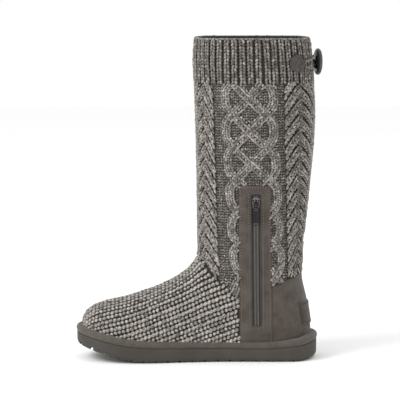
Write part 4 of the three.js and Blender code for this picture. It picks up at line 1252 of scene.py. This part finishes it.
def panel_stitching():
    heights = np.linspace(PANEL_LOW + 6, PANEL_TOP - EDGE_STITCH_INSET, 120)
    half_slot = ZIP_SLOT_WIDTH / 2

    def on_panel(x, z, lift):
        return side_point(x, z, SUEDE_LIFT + lift)

    def across(z, first, last):
        x = np.linspace(first, last, 12)
        return line_on(on_panel, x, np.full_like(x, z))

    def beside_slot(inset):
        z = np.linspace(ZIP_Z[0] - inset, ZIP_Z[1] + inset, 100)
        return [line_on(on_panel, zip_x(z) + side * (half_slot + inset), z) for side in (-1, 1)]

    def over_slot(z, past):
        return across(z, zip_x(z) - half_slot - past, zip_x(z) + half_slot + past)

    top = heights[-1]
    light = beside_slot(ZIP_STITCH_INSET) + [
        line_on(on_panel, panel_front(heights) + EDGE_STITCH_INSET, heights),
        line_on(on_panel, panel_back(heights) - EDGE_STITCH_INSET, heights),
        across(top, panel_front(top) + EDGE_STITCH_INSET, panel_back(top) - EDGE_STITCH_INSET),
        over_slot(ZIP_Z[0] - BAR_TACK_DROP, BAR_TACK_PAST),
    ]
    seam("panel_stitching", light, THREAD)
    dark = beside_slot(SLOT_STITCH_INSET) + [over_slot(ZIP_Z[1] + SLOT_STITCH_INSET, SLOT_STITCH_INSET)]
    seam("slot_stitching", dark, DARK_THREAD_AND_HOLE_SHADE)


def counter_stitching():
    across = np.linspace(-0.97, 0.97, 160)

    def on_counter(at, lift):
        return counter_point(at, np.ones_like(at), SUEDE_LIFT + lift, COUNTER_STITCH_INSET)

    def on_label(at, z, lift):
        return label_point(at, z, LABEL_LIFT + lift, LABEL_STITCH_INSET)

    span = np.linspace(-1, 1, 60)
    rise = np.linspace(LABEL_LOW + LABEL_STITCH_INSET, LABEL_HIGH - LABEL_STITCH_INSET, 30)
    lines = [line_on(on_counter, across)]
    lines += [line_on(on_label, span, np.full_like(span, z)) for z in (rise[0], rise[-1])]
    lines += [line_on(on_label, np.full_like(rise, edge), rise) for edge in (-1.0, 1.0)]
    seam("counter_stitching", lines, DARK_THREAD_AND_HOLE_SHADE)


zip_panel()
heel_counter()
heel_label()
panel_stitching()
counter_stitching()


# Zip

TAPE_TOP = 1.0
TAPE_HUMP = 0.7
TAPE_HALF = 3.3
TAPE_SEAM = 1.75
COIL_PITCH = 1.5
COIL_LEG = (0.9, 0.8)
COIL_SEAM_SIZE = (0.55, 0.4)
COIL_SEAM_PITCH = 2.2


def zip_tape():
    across = np.linspace(-1, 1, 25)
    rows = np.linspace(ZIP_Z[0] + GAP, ZIP_Z[1] - GAP, 80)

    def point(share, z):
        hump = 1 - np.minimum(np.abs(np.abs(share) - 0.42) / 0.42, 1) ** 3
        return side_point(zip_x(z) + share * TAPE_HALF, z, TAPE_TOP - 0.5 + TAPE_HUMP * hump)

    shape, _, _ = grid_shape(across, rows, point)
    thicken(piece("zip_tape_woven", shape, [TAPE], "zip_tape", replaces=["zip_tape"]), 0.6, 0.1)
    z = np.arange(ZIP_Z[0] + 2, ZIP_Z[1] - 2, COIL_PITCH)
    way = np.where(np.arange(len(z)) % 2, 1.0, -1.0)

    def on_tape(found):
        return side_point(zip_x(found[:, 1]) + found[:, 0], found[:, 1], found[:, 2])

    coil = legs(on_tape, spots(-0.25 * way, z, 0.75), spots(0.95 * way, z + 0.3, 0.75), *COIL_LEG)
    dress("zip_coil", joined_lobes("zip_coil", coil, THREAD_LOBE), [COIL])

    def over_tape(x, z, lift):
        return side_point(x, z, TAPE_TOP - 0.5 + TAPE_HUMP + lift)

    lines = [line_on(over_tape, zip_x(rows) + side * TAPE_SEAM, rows) for side in (-1, 1)]
    sewn = stitches(lines, COIL_SEAM_SIZE, pitch=COIL_SEAM_PITCH, length=0.9 * COIL_SEAM_PITCH)
    dress("zip_coil_seam", joined_lobes("zip_coil_seam", sewn, THREAD_LOBE), [THREAD])


def slider_frame():
    """Place of the pull's pivot: X across the zip, Y into the boot and Z up."""
    step = 4.0
    x, z = np.array([zip_x(PULL_PIVOT)]), np.array([float(PULL_PIVOT)])
    spot = side_point(x, z, 0)[0]
    sideways = side_point(x + step, z, 0)[0] - side_point(x - step, z, 0)[0]
    upward = side_point(x, z + step, 0)[0] - side_point(x, z - step, 0)[0]
    out = Vector(np.cross(sideways, upward)).normalized()
    turn = Vector((0, -1, 0)).rotation_difference(out).to_matrix().to_4x4()
    return Matrix.Translation((Vector(spot) + out * PIVOT_LIFT) * MM) @ turn


def flat_plate(name, outline, holes, thick, edge):
    """A bmesh plate in the XZ plane about its middle, with round edges; outline and holes are rings in millimetres."""
    curve = bpy.data.curves.new(name, "CURVE")
    curve.dimensions = "2D"
    curve.fill_mode = "BOTH"
    curve.extrude = (thick / 2 - edge) * MM
    curve.bevel_depth = edge * MM
    curve.offset = -edge * MM
    curve.bevel_resolution = 2
    for ring in (outline, *holes):
        spline = curve.splines.new("POLY")
        spline.points.add(len(ring) - 1)
        for knot, (x, z) in zip(spline.points, ring):
            knot.co = (x * MM, z * MM, 0, 1)
        spline.use_cyclic_u = True
    thing = bpy.data.objects.new(name, curve)
    shape = bmesh.new()
    shape.from_mesh(thing.to_mesh())
    bpy.data.objects.remove(thing)
    bpy.data.curves.remove(curve)
    bmesh.ops.remove_doubles(shape, verts=shape.verts, dist=0.001 * MM)
    bmesh.ops.rotate(shape, cent=(0, 0, 0), matrix=Matrix.Rotation(math.pi / 2, 3, "X"), verts=shape.verts)
    return shape


def circle(middle, radius, points=20):
    turns = np.arange(points) * 2 * np.pi / points
    return [(middle[0] + radius * math.cos(a), middle[1] + radius * math.sin(a)) for a in turns]


def add_block(shape, size, at, edge, slot):
    """Adds a box with rounded edges to a bmesh, in millimetres, with a material slot."""
    before = set(shape.faces)
    made = bmesh.ops.create_cube(shape, size=MM)["verts"]
    bmesh.ops.scale(shape, vec=size, verts=made)
    bmesh.ops.translate(shape, vec=[value * MM for value in at], verts=made)
    edges = list({line for vert in made for line in vert.link_edges})
    bmesh.ops.bevel(
        shape, geom=edges, offset=edge * MM, offset_type="OFFSET", affect="EDGES", segments=2, profile=0.5, material=-1
    )
    for face in set(shape.faces) - before:
        face.material_index = slot


def add_ring(shape, middle, radius, thick, slot):
    """Adds a round-edged ring that faces out of the zip, in millimetres, with a material slot."""
    before = set(shape.faces)
    turns = np.arange(8) * np.pi / 4
    profile = [
        shape.verts.new(((middle[0] + radius + thick * math.cos(a)) * MM, (middle[1] + thick * math.sin(a)) * MM,
                         middle[2] * MM))
        for a in turns
    ]
    lines = [shape.edges.new((profile[k - 1], profile[k])) for k in range(len(profile))]
    bmesh.ops.spin(
        shape,
        geom=profile + lines,
        cent=[value * MM for value in middle],
        axis=(0, 1, 0),
        angle=2 * math.pi,
        steps=20,
        use_merge=True,
    )
    for face in set(shape.faces) - before:
        face.material_index = slot


# Slider: half of its crowned outline, across and over the pivot
SLIDER_OUTLINE = ((1.3, 6), (1.7, 5.2), (2.9, 5), (4, 4.2), (4, -1), (3.5, -4.6), (2.8, -7))
SLIDER_HOLES = ((-2.75, 2), (2.75, 2))
SLIDER_HOLE = 0.85
SLIDER_THICK = 1.4
SLIDER_Y = 1.65
BRIDGE_Z = 2.4


def cast_piece(name, shape, **settings):
    bmesh.ops.transform(shape, matrix=slider_frame(), verts=shape.verts)
    bmesh.ops.recalc_face_normals(shape, faces=shape.faces)
    piece(name, shape, [DARK_METAL, LIGHT_METAL_AND_PAINTED_HIGHLIGHT], "gunmetal", **settings)


def zip_slider():
    """Cast slider: a crowned plate with two holes, side flanges and the bridge that holds the pull."""
    outline = [*SLIDER_OUTLINE, *((-x, z) for x, z in reversed(SLIDER_OUTLINE))]
    shape = flat_plate("slider_plate", outline, [circle(spot, SLIDER_HOLE) for spot in SLIDER_HOLES], SLIDER_THICK, 0.3)
    bmesh.ops.translate(shape, vec=(0, SLIDER_Y * MM, 0), verts=shape.verts)
    for face in shape.faces:
        face.material_index = 1
    for side in (-1, 1):
        add_block(shape, (0.8, 0.7, 5.2), (side * 3.3, SLIDER_Y - 0.8, -2.2), 0.2, 1)
    add_block(shape, (2, 1.2, 6), (0, -1.55, 0), 0.35, 0)
    for end in (-1, 1):
        add_block(shape, (2, 4.3, 1.2), (0, 0, end * BRIDGE_Z), 0.3, 0)
    cast_piece("zip_slider_cast", shape, replaces=["zip_slider"])


PULL_WIDTH = 5.4
PULL_LENGTH = 26
PULL_THICK = 1.2
PULL_WINDOW = (2.8, 0.4, 4.6)
PULL_HOLE = 1.1
PULL_HOLE_DROP = 3
PULL_EDGE = 0.2
PULL_BAR = (4.2, 0.5, 0.9)


def zip_pull():
    """A flat pull with a window for the bridge, a hole with a raised rim and a bar across its end."""
    half = PULL_WIDTH / 2
    turn = np.linspace(np.pi, 2 * np.pi, 17)
    round_end = [(half * math.cos(a), half * math.sin(a) - PULL_LENGTH + half) for a in turn]
    side, top, low = PULL_WINDOW[0] / 2, -PULL_WINDOW[1], -PULL_WINDOW[2]
    outline = [(-half, PULL_THICK / 2), *round_end, (half, PULL_THICK / 2)]
    window = [(-side, low), (-side, top), (side, top), (side, low)]
    hole_z = low - PULL_HOLE_DROP
    shape = flat_plate("pull_plate", outline, [window, circle((0, hole_z), PULL_HOLE)], PULL_THICK, PULL_EDGE)
    # The rims round the hole and the bar across the end are in the light metal, as a painted highlight
    for face_y in (-PULL_THICK / 2, PULL_THICK / 2):
        add_ring(shape, (0, face_y, hole_z), PULL_HOLE + 0.3, 0.3, 1)
        add_block(shape, PULL_BAR, (0, face_y, -PULL_LENGTH + half - 0.4), 0.2, 1)
    cast_piece("zip_pull_cast", shape, body="pull", replaces=["zip_pull"])


zip_tape()
zip_slider()
zip_pull()


# Button, patch and loop

PATCH_LIFT = KNIT_TOP + GAP + PATCH_THICK
CORD_LIFT = KNIT_TOP + GAP + CORD_RADIUS + 0.5
# The patch lies this far below the button, and the loop's middle hangs this far below it at the patch
PATCH_DROP = 1.4
LOOP_SAG = 2.6
# Upper half of the loop: share of the way from the patch to the button, and height over the loop's middle
LOOP_POINTS = ((0.19, 2.9), (0.38, 4.2), (0.53, 6), (0.71, 7.6), (0.88, 7.6), (1.03, 5.4), (1.1, 0))


def cuff_point(turn, z, lift):
    """Point on the cuff. A turn over 1 goes past the back to the outer side."""
    return shaft_point(1, spots(turn, CUFF_BASE - z, lift))


def loop_patch():
    """Round patch, domed in the middle, with a pressed line inside its edge."""
    rings = np.concatenate([[0.0, 0.3, 0.55, 0.75], [0.8, 0.84, 0.88, 0.94, 1.0]])

    def point(ring, angle):
        pressed = 0.35 * np.exp(-(((ring - 0.84) / 0.03) ** 2))
        dome = 0.4 * (1 - ring**2)
        turn = PATCH_TURN + PATCH_RADIUS * ring * np.cos(angle) / TURN_GIRTH
        z = BUTTON_HEIGHT - PATCH_DROP + PATCH_RADIUS * ring * np.sin(angle)
        return cuff_point(turn, z, PATCH_LIFT + dome - pressed)

    shape, _, _ = grid_shape(rings, np.linspace(0, 2 * np.pi, 57), point)
    closed(shape)
    thicken(piece("loop_patch_leather", shape, [LEATHER], "loop_leather", replaces=["loop_patch"]), PATCH_THICK, 0.4)


def tube(points, outs, half_width, half_height, sides=12):
    """A bmesh tube along points, wider square to outs, with both ends closed."""
    ways = unit(np.gradient(points, axis=0))
    ups = unit(outs - ways * np.sum(outs * ways, axis=1, keepdims=True))
    aside = np.cross(ways, ups)

    def point(angle, k):
        k = k.astype(int)
        return (
            points[k]
            + aside[k] * (half_width * np.cos(angle))[:, None]
            + ups[k] * (half_height * np.sin(angle))[:, None]
        )

    shape, _, _ = grid_shape(np.linspace(0, 2 * np.pi, sides + 1), np.arange(len(points)), point)
    bmesh.ops.remove_doubles(shape, verts=shape.verts, dist=0.001 * MM)
    bmesh.ops.holes_fill(shape, edges=shape.edges, sides=0)
    bmesh.ops.recalc_face_normals(shape, faces=shape.faces)
    return shape


def button_loop():
    """Leather lace from the patch round the button's shank and back."""
    shares = np.array([share for share, _ in LOOP_POINTS] + [share for share, _ in LOOP_POINTS[-2::-1]])
    ups = np.array([up for _, up in LOOP_POINTS] + [-up for _, up in LOOP_POINTS[-2::-1]], float)
    at = np.linspace(0, len(shares) - 1, 90)
    share = smooth(shares, at)
    turn = PATCH_TURN + (BUTTON_TURN - PATCH_TURN) * share
    z = BUTTON_HEIGHT + smooth(ups, at) - LOOP_SAG * (1 - share / shares.max())
    points = cuff_point(turn, z, CORD_LIFT)
    outs = cuff_point(turn, z, CORD_LIFT + 1) - points
    shape = tube(points, outs, CORD_RADIUS, CORD_RADIUS)
    piece("button_loop_lace", shape, [LACE], "loop_leather", replaces=["button_loop"])


# Profile of the button from its shank to the middle of its face: radius and height over its middle
BUTTON_PROFILE = (
    (0, -6.15),
    (SHANK_RADIUS, -6.15),
    (SHANK_RADIUS, -2.75),
    (8, -2.75),
    (11.5, -2.6),
    (13.6, -1.9),
    (14.7, -0.9),
    (15, 0.2),
    (14.7, 1.4),
    (13.8, 2.3),
    (12.6, 2.75),
    (11.4, 2.6),
    (10.4, 2.0),
    (9.4, 1.6),
    (5, 1.5),
    (0, 1.5),
)


def button():
    """Dished button with a rolled rim, turned about its shank."""
    z = np.array([float(BUTTON_HEIGHT)])
    turn = np.array([BUTTON_TURN])
    spot = cuff_point(turn, z, 0)[0]
    out = Vector(cuff_point(turn, z, 1)[0] - spot).normalized()
    shape = bmesh.new()
    profile = [shape.verts.new((radius * MM, 0, height * MM)) for radius, height in BUTTON_PROFILE]
    lines = [shape.edges.new(pair) for pair in zip(profile, profile[1:])]
    bmesh.ops.spin(
        shape, geom=profile + lines, cent=(0, 0, 0), axis=(0, 0, 1), angle=2 * math.pi, steps=48, use_merge=True
    )
    closed(shape)
    lift = KNIT_TOP + GAP + SHANK_LENGTH + BUTTON_THICK / 2
    stand = Matrix.Translation((Vector(spot) + out * lift) * MM) @ out.to_track_quat("Z", "Y").to_matrix().to_4x4()
    bmesh.ops.transform(shape, matrix=stand, verts=shape.verts)
    piece("button_turned", shape, [HORN], "button_horn", replaces=["button"])


loop_patch()
button_loop()
button()


# Sole, binding and insole

SOLE_STATIONS = 96
# Rings of the sole's wall from the bottom up: inset, and rise over the bottom (0) or the top (1)
SOLE_RINGS = (
    (5, 0, 0),
    (3.4, 0, 0.3),
    (1.6, 0, 1.6),
    (0.5, 0, 3.4),
    (0, 0, 5.5),
    (0, 1, -3.5),
    (0, 1, -1),
    (0.3, 1, -0.3),
    (1, 1, 0),
)
BOTTOM_STEPS = 8
GROOVE_PITCH = 14
GROOVE_WIDTH = 3.2
GROOVE_WAVE = 4
GROOVE_BENDS = 24
TREAD_DEPTH = 2.2
# The grooves under the toe are deeper and show in the sole's side, from one share of its length to another
TOE_TREAD_DEPTH = 5
TOE_TREAD = (0.84, 0.92)
TREAD_ENDS = (0.02, 0.985)


def station(i):
    return (1 - np.cos(np.pi * i / SOLE_STATIONS)) / 2


def sole_ring_point(ring, out, along):
    inset, over, rise = (np.array([row[k] for row in SOLE_RINGS], float)[ring] for k in range(3))
    x, y = sole_edge(out, along, inset)
    z = np.where(over > 0, sole_value("top", along), sole_bottom(along)) + rise
    return np.stack([x, y, z], -1)


def outsole():
    """Closed sole: sections from the heel to the toe, each round its bottom, inner wall, top and outer wall."""
    rings = len(SOLE_RINGS)
    last = rings - 1
    loop = [(k, -1.0, 0.0) for k in range(rings)]
    loop += [(last, -1.0, share / BOTTOM_STEPS) for share in range(1, BOTTOM_STEPS)]
    loop += [(k, 1.0, 0.0) for k in reversed(range(rings))]
    loop += [(0, 1.0, share / BOTTOM_STEPS) for share in range(1, BOTTOM_STEPS)]
    loop.append(loop[0])
    ring_of = np.array([entry[0] for entry in loop])
    out_of = np.array([entry[1] for entry in loop])
    share_of = np.array([entry[2] for entry in loop])[:, None]

    def point(i, k):
        k = k.astype(int)
        along = station(i)
        near = sole_ring_point(ring_of[k], out_of[k], along)
        far = sole_ring_point(ring_of[k], -out_of[k], along)
        return near + (far - near) * share_of[k]

    shape, _, _ = grid_shape(np.arange(SOLE_STATIONS + 1), np.arange(len(loop)), point)
    closed(shape)
    sole = piece("outsole_foam", shape, [FOAM], "foam_sole", replaces=["outsole"])
    grooves = tread_grooves()
    cut = sole.modifiers.new("tread", "BOOLEAN")
    cut.operation = "DIFFERENCE"
    cut.solver = "EXACT"
    cut.object = grooves
    sole_mesh = bpy.data.meshes.new_from_object(sole.evaluated_get(bpy.context.evaluated_depsgraph_get()))
    sole.modifiers.clear()
    sole.data = sole_mesh
    sole_mesh.set_sharp_from_angle(angle=math.radians(38))
    bpy.data.objects.remove(grooves)


def tread_grooves():
    """Cutters of the wavy grooves across the tread."""
    first, last = (math.floor((HEEL_X - along * SOLE_LENGTH) / GROOVE_PITCH - 0.5) for along in reversed(TREAD_ENDS))
    shape = bmesh.new()
    y = np.linspace(-BALL_WIDTH, BALL_WIDTH, GROOVE_BENDS + 1)
    sway = -np.cos(np.linspace(0, 6 * np.pi, GROOVE_BENDS + 1)) * GROOVE_WAVE / 2
    for k in range(first + 1, last + 1):
        middle = (k + 0.5) * GROOVE_PITCH
        along = sole_along(middle)
        roof = sole_bottom(along) + np.interp(along, TOE_TREAD, (TREAD_DEPTH, TOE_TREAD_DEPTH))
        verts = [
            shape.verts.new((x * MM, across * MM, -20 * MM))
            for side in (-1, 1)
            for x, across in zip((middle + sway + side * GROOVE_WIDTH / 2)[::side], y[::side])
        ]
        face = shape.faces.new(verts)
        grown = bmesh.ops.extrude_face_region(shape, geom=[face])["geom"]
        raised = [found for found in grown if isinstance(found, bmesh.types.BMVert)]
        bmesh.ops.translate(shape, vec=(0, 0, (20 + float(roof)) * MM), verts=raised)
    bmesh.ops.recalc_face_normals(shape, faces=shape.faces)
    mesh = bpy.data.meshes.new("tread_grooves")
    shape.to_mesh(mesh)
    shape.free()
    grooves = bpy.data.objects.new("tread_grooves", mesh)
    bpy.context.scene.collection.objects.link(grooves)
    return grooves


BINDING_STATIONS = 240
BINDING_SIDES = 20
BINDING_SQUARE = (0.42, 0.62)
BINDING_DEPTH = 0.75
BINDING_SINK = 0.3


def binding():
    """Rolled band round the joint of upper and sole, gathered a little where it bends."""

    def point(i, angle):
        share = np.mod(i / BINDING_STATIONS * 2, 2)
        out = np.where(share <= 1, -1.0, 1.0)
        along = (1 - np.cos(np.pi * np.where(share <= 1, share, 2 - share))) / 2
        c = np.cos(angle)
        square = np.where(np.sin(angle) < 0, *BINDING_SQUARE)
        squash = np.abs(c) ** square * np.sign(c) * np.where(c < 0, BINDING_DEPTH, 1)
        half = BINDING_WIDTH / 2
        gather = 0.12 * np.sin(i * 1.9) * np.sin(i * 0.37)
        x, y = sole_edge(out, along, half - BINDING_PROUD - squash * (half + gather))
        z = sole_value("top", along) - BINDING_SINK + BINDING_HEIGHT / 2 * (1 + np.sin(angle))
        return np.stack([x, y, z], -1)

    columns = np.arange(BINDING_STATIONS + 1)
    shape, _, _ = grid_shape(columns, np.linspace(0, 2 * np.pi, BINDING_SIDES + 1), point)
    closed(shape)
    piece("binding_suede", shape, [BINDING_SUEDE], "suede_binding", replaces=["binding"])


def insole():
    """Fleece footbed: the solid's own form, merged and with soft edges."""
    shape = bmesh.new()
    shape.from_mesh(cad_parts["insole"].data)
    bmesh.ops.remove_doubles(shape, verts=shape.verts, dist=0.02 * MM)
    piece("insole_fleece", shape, [LINING], "fleece", replaces=["insole"]).data.set_sharp_from_angle(
        angle=math.radians(50)
    )


outsole()
binding()
insole()


# Floor, light and camera

CAMERA_PLACE = (0, -1.8, 0.36719)
CAMERA_AIM = (0, 0, 0.178)
CAMERA_LENS = 144.65
CAMERA_SENSOR = 36


def floor():
    shape = bmesh.new()
    bmesh.ops.create_grid(shape, x_segments=1, y_segments=1, size=6)
    mesh = bpy.data.meshes.new("floor")
    shape.to_mesh(mesh)
    shape.free()
    material, _, shader = new_material("paper_backdrop_matt")
    shader.inputs["Base Color"].default_value = linear("#fbfbfb")
    shader.inputs["Roughness"].default_value = 0.9
    mesh.materials.append(material)
    ground = bpy.data.objects.new("floor", mesh)
    bpy.context.scene.collection.objects.link(ground)


def lamp(name, place, aim, size, power):
    light = bpy.data.lights.new(name, "AREA")
    light.size = size
    light.energy = power
    thing = bpy.data.objects.new(name, light)
    thing.location = place
    thing.rotation_euler = (Vector(aim) - Vector(place)).to_track_quat("-Z", "Y").to_euler()
    bpy.context.scene.collection.objects.link(thing)


def studio():
    world = bpy.data.worlds.new("studio")
    world.use_nodes = True
    backdrop = world.node_tree.nodes["Background"]
    backdrop.inputs["Color"].default_value = (1, 1, 1, 1)
    backdrop.inputs["Strength"].default_value = 1.0
    scene = bpy.context.scene
    scene.world = world
    scene.view_settings.view_transform = "Standard"
    lamp("key", (-1.7, -1.1, 1.9), CAMERA_AIM, 1.1, 40)
    lamp("fill", (1.2, -1.9, 1.0), CAMERA_AIM, 1.4, 4)
    camera = bpy.data.cameras.new("camera")
    camera.lens = CAMERA_LENS
    camera.sensor_width = CAMERA_SENSOR
    thing = bpy.data.objects.new("camera", camera)
    thing.location = CAMERA_PLACE
    thing.rotation_euler = (Vector(CAMERA_AIM) - Vector(CAMERA_PLACE)).to_track_quat("-Z", "Y").to_euler()
    scene.collection.objects.link(thing)
    scene.camera = thing


floor()
studio()
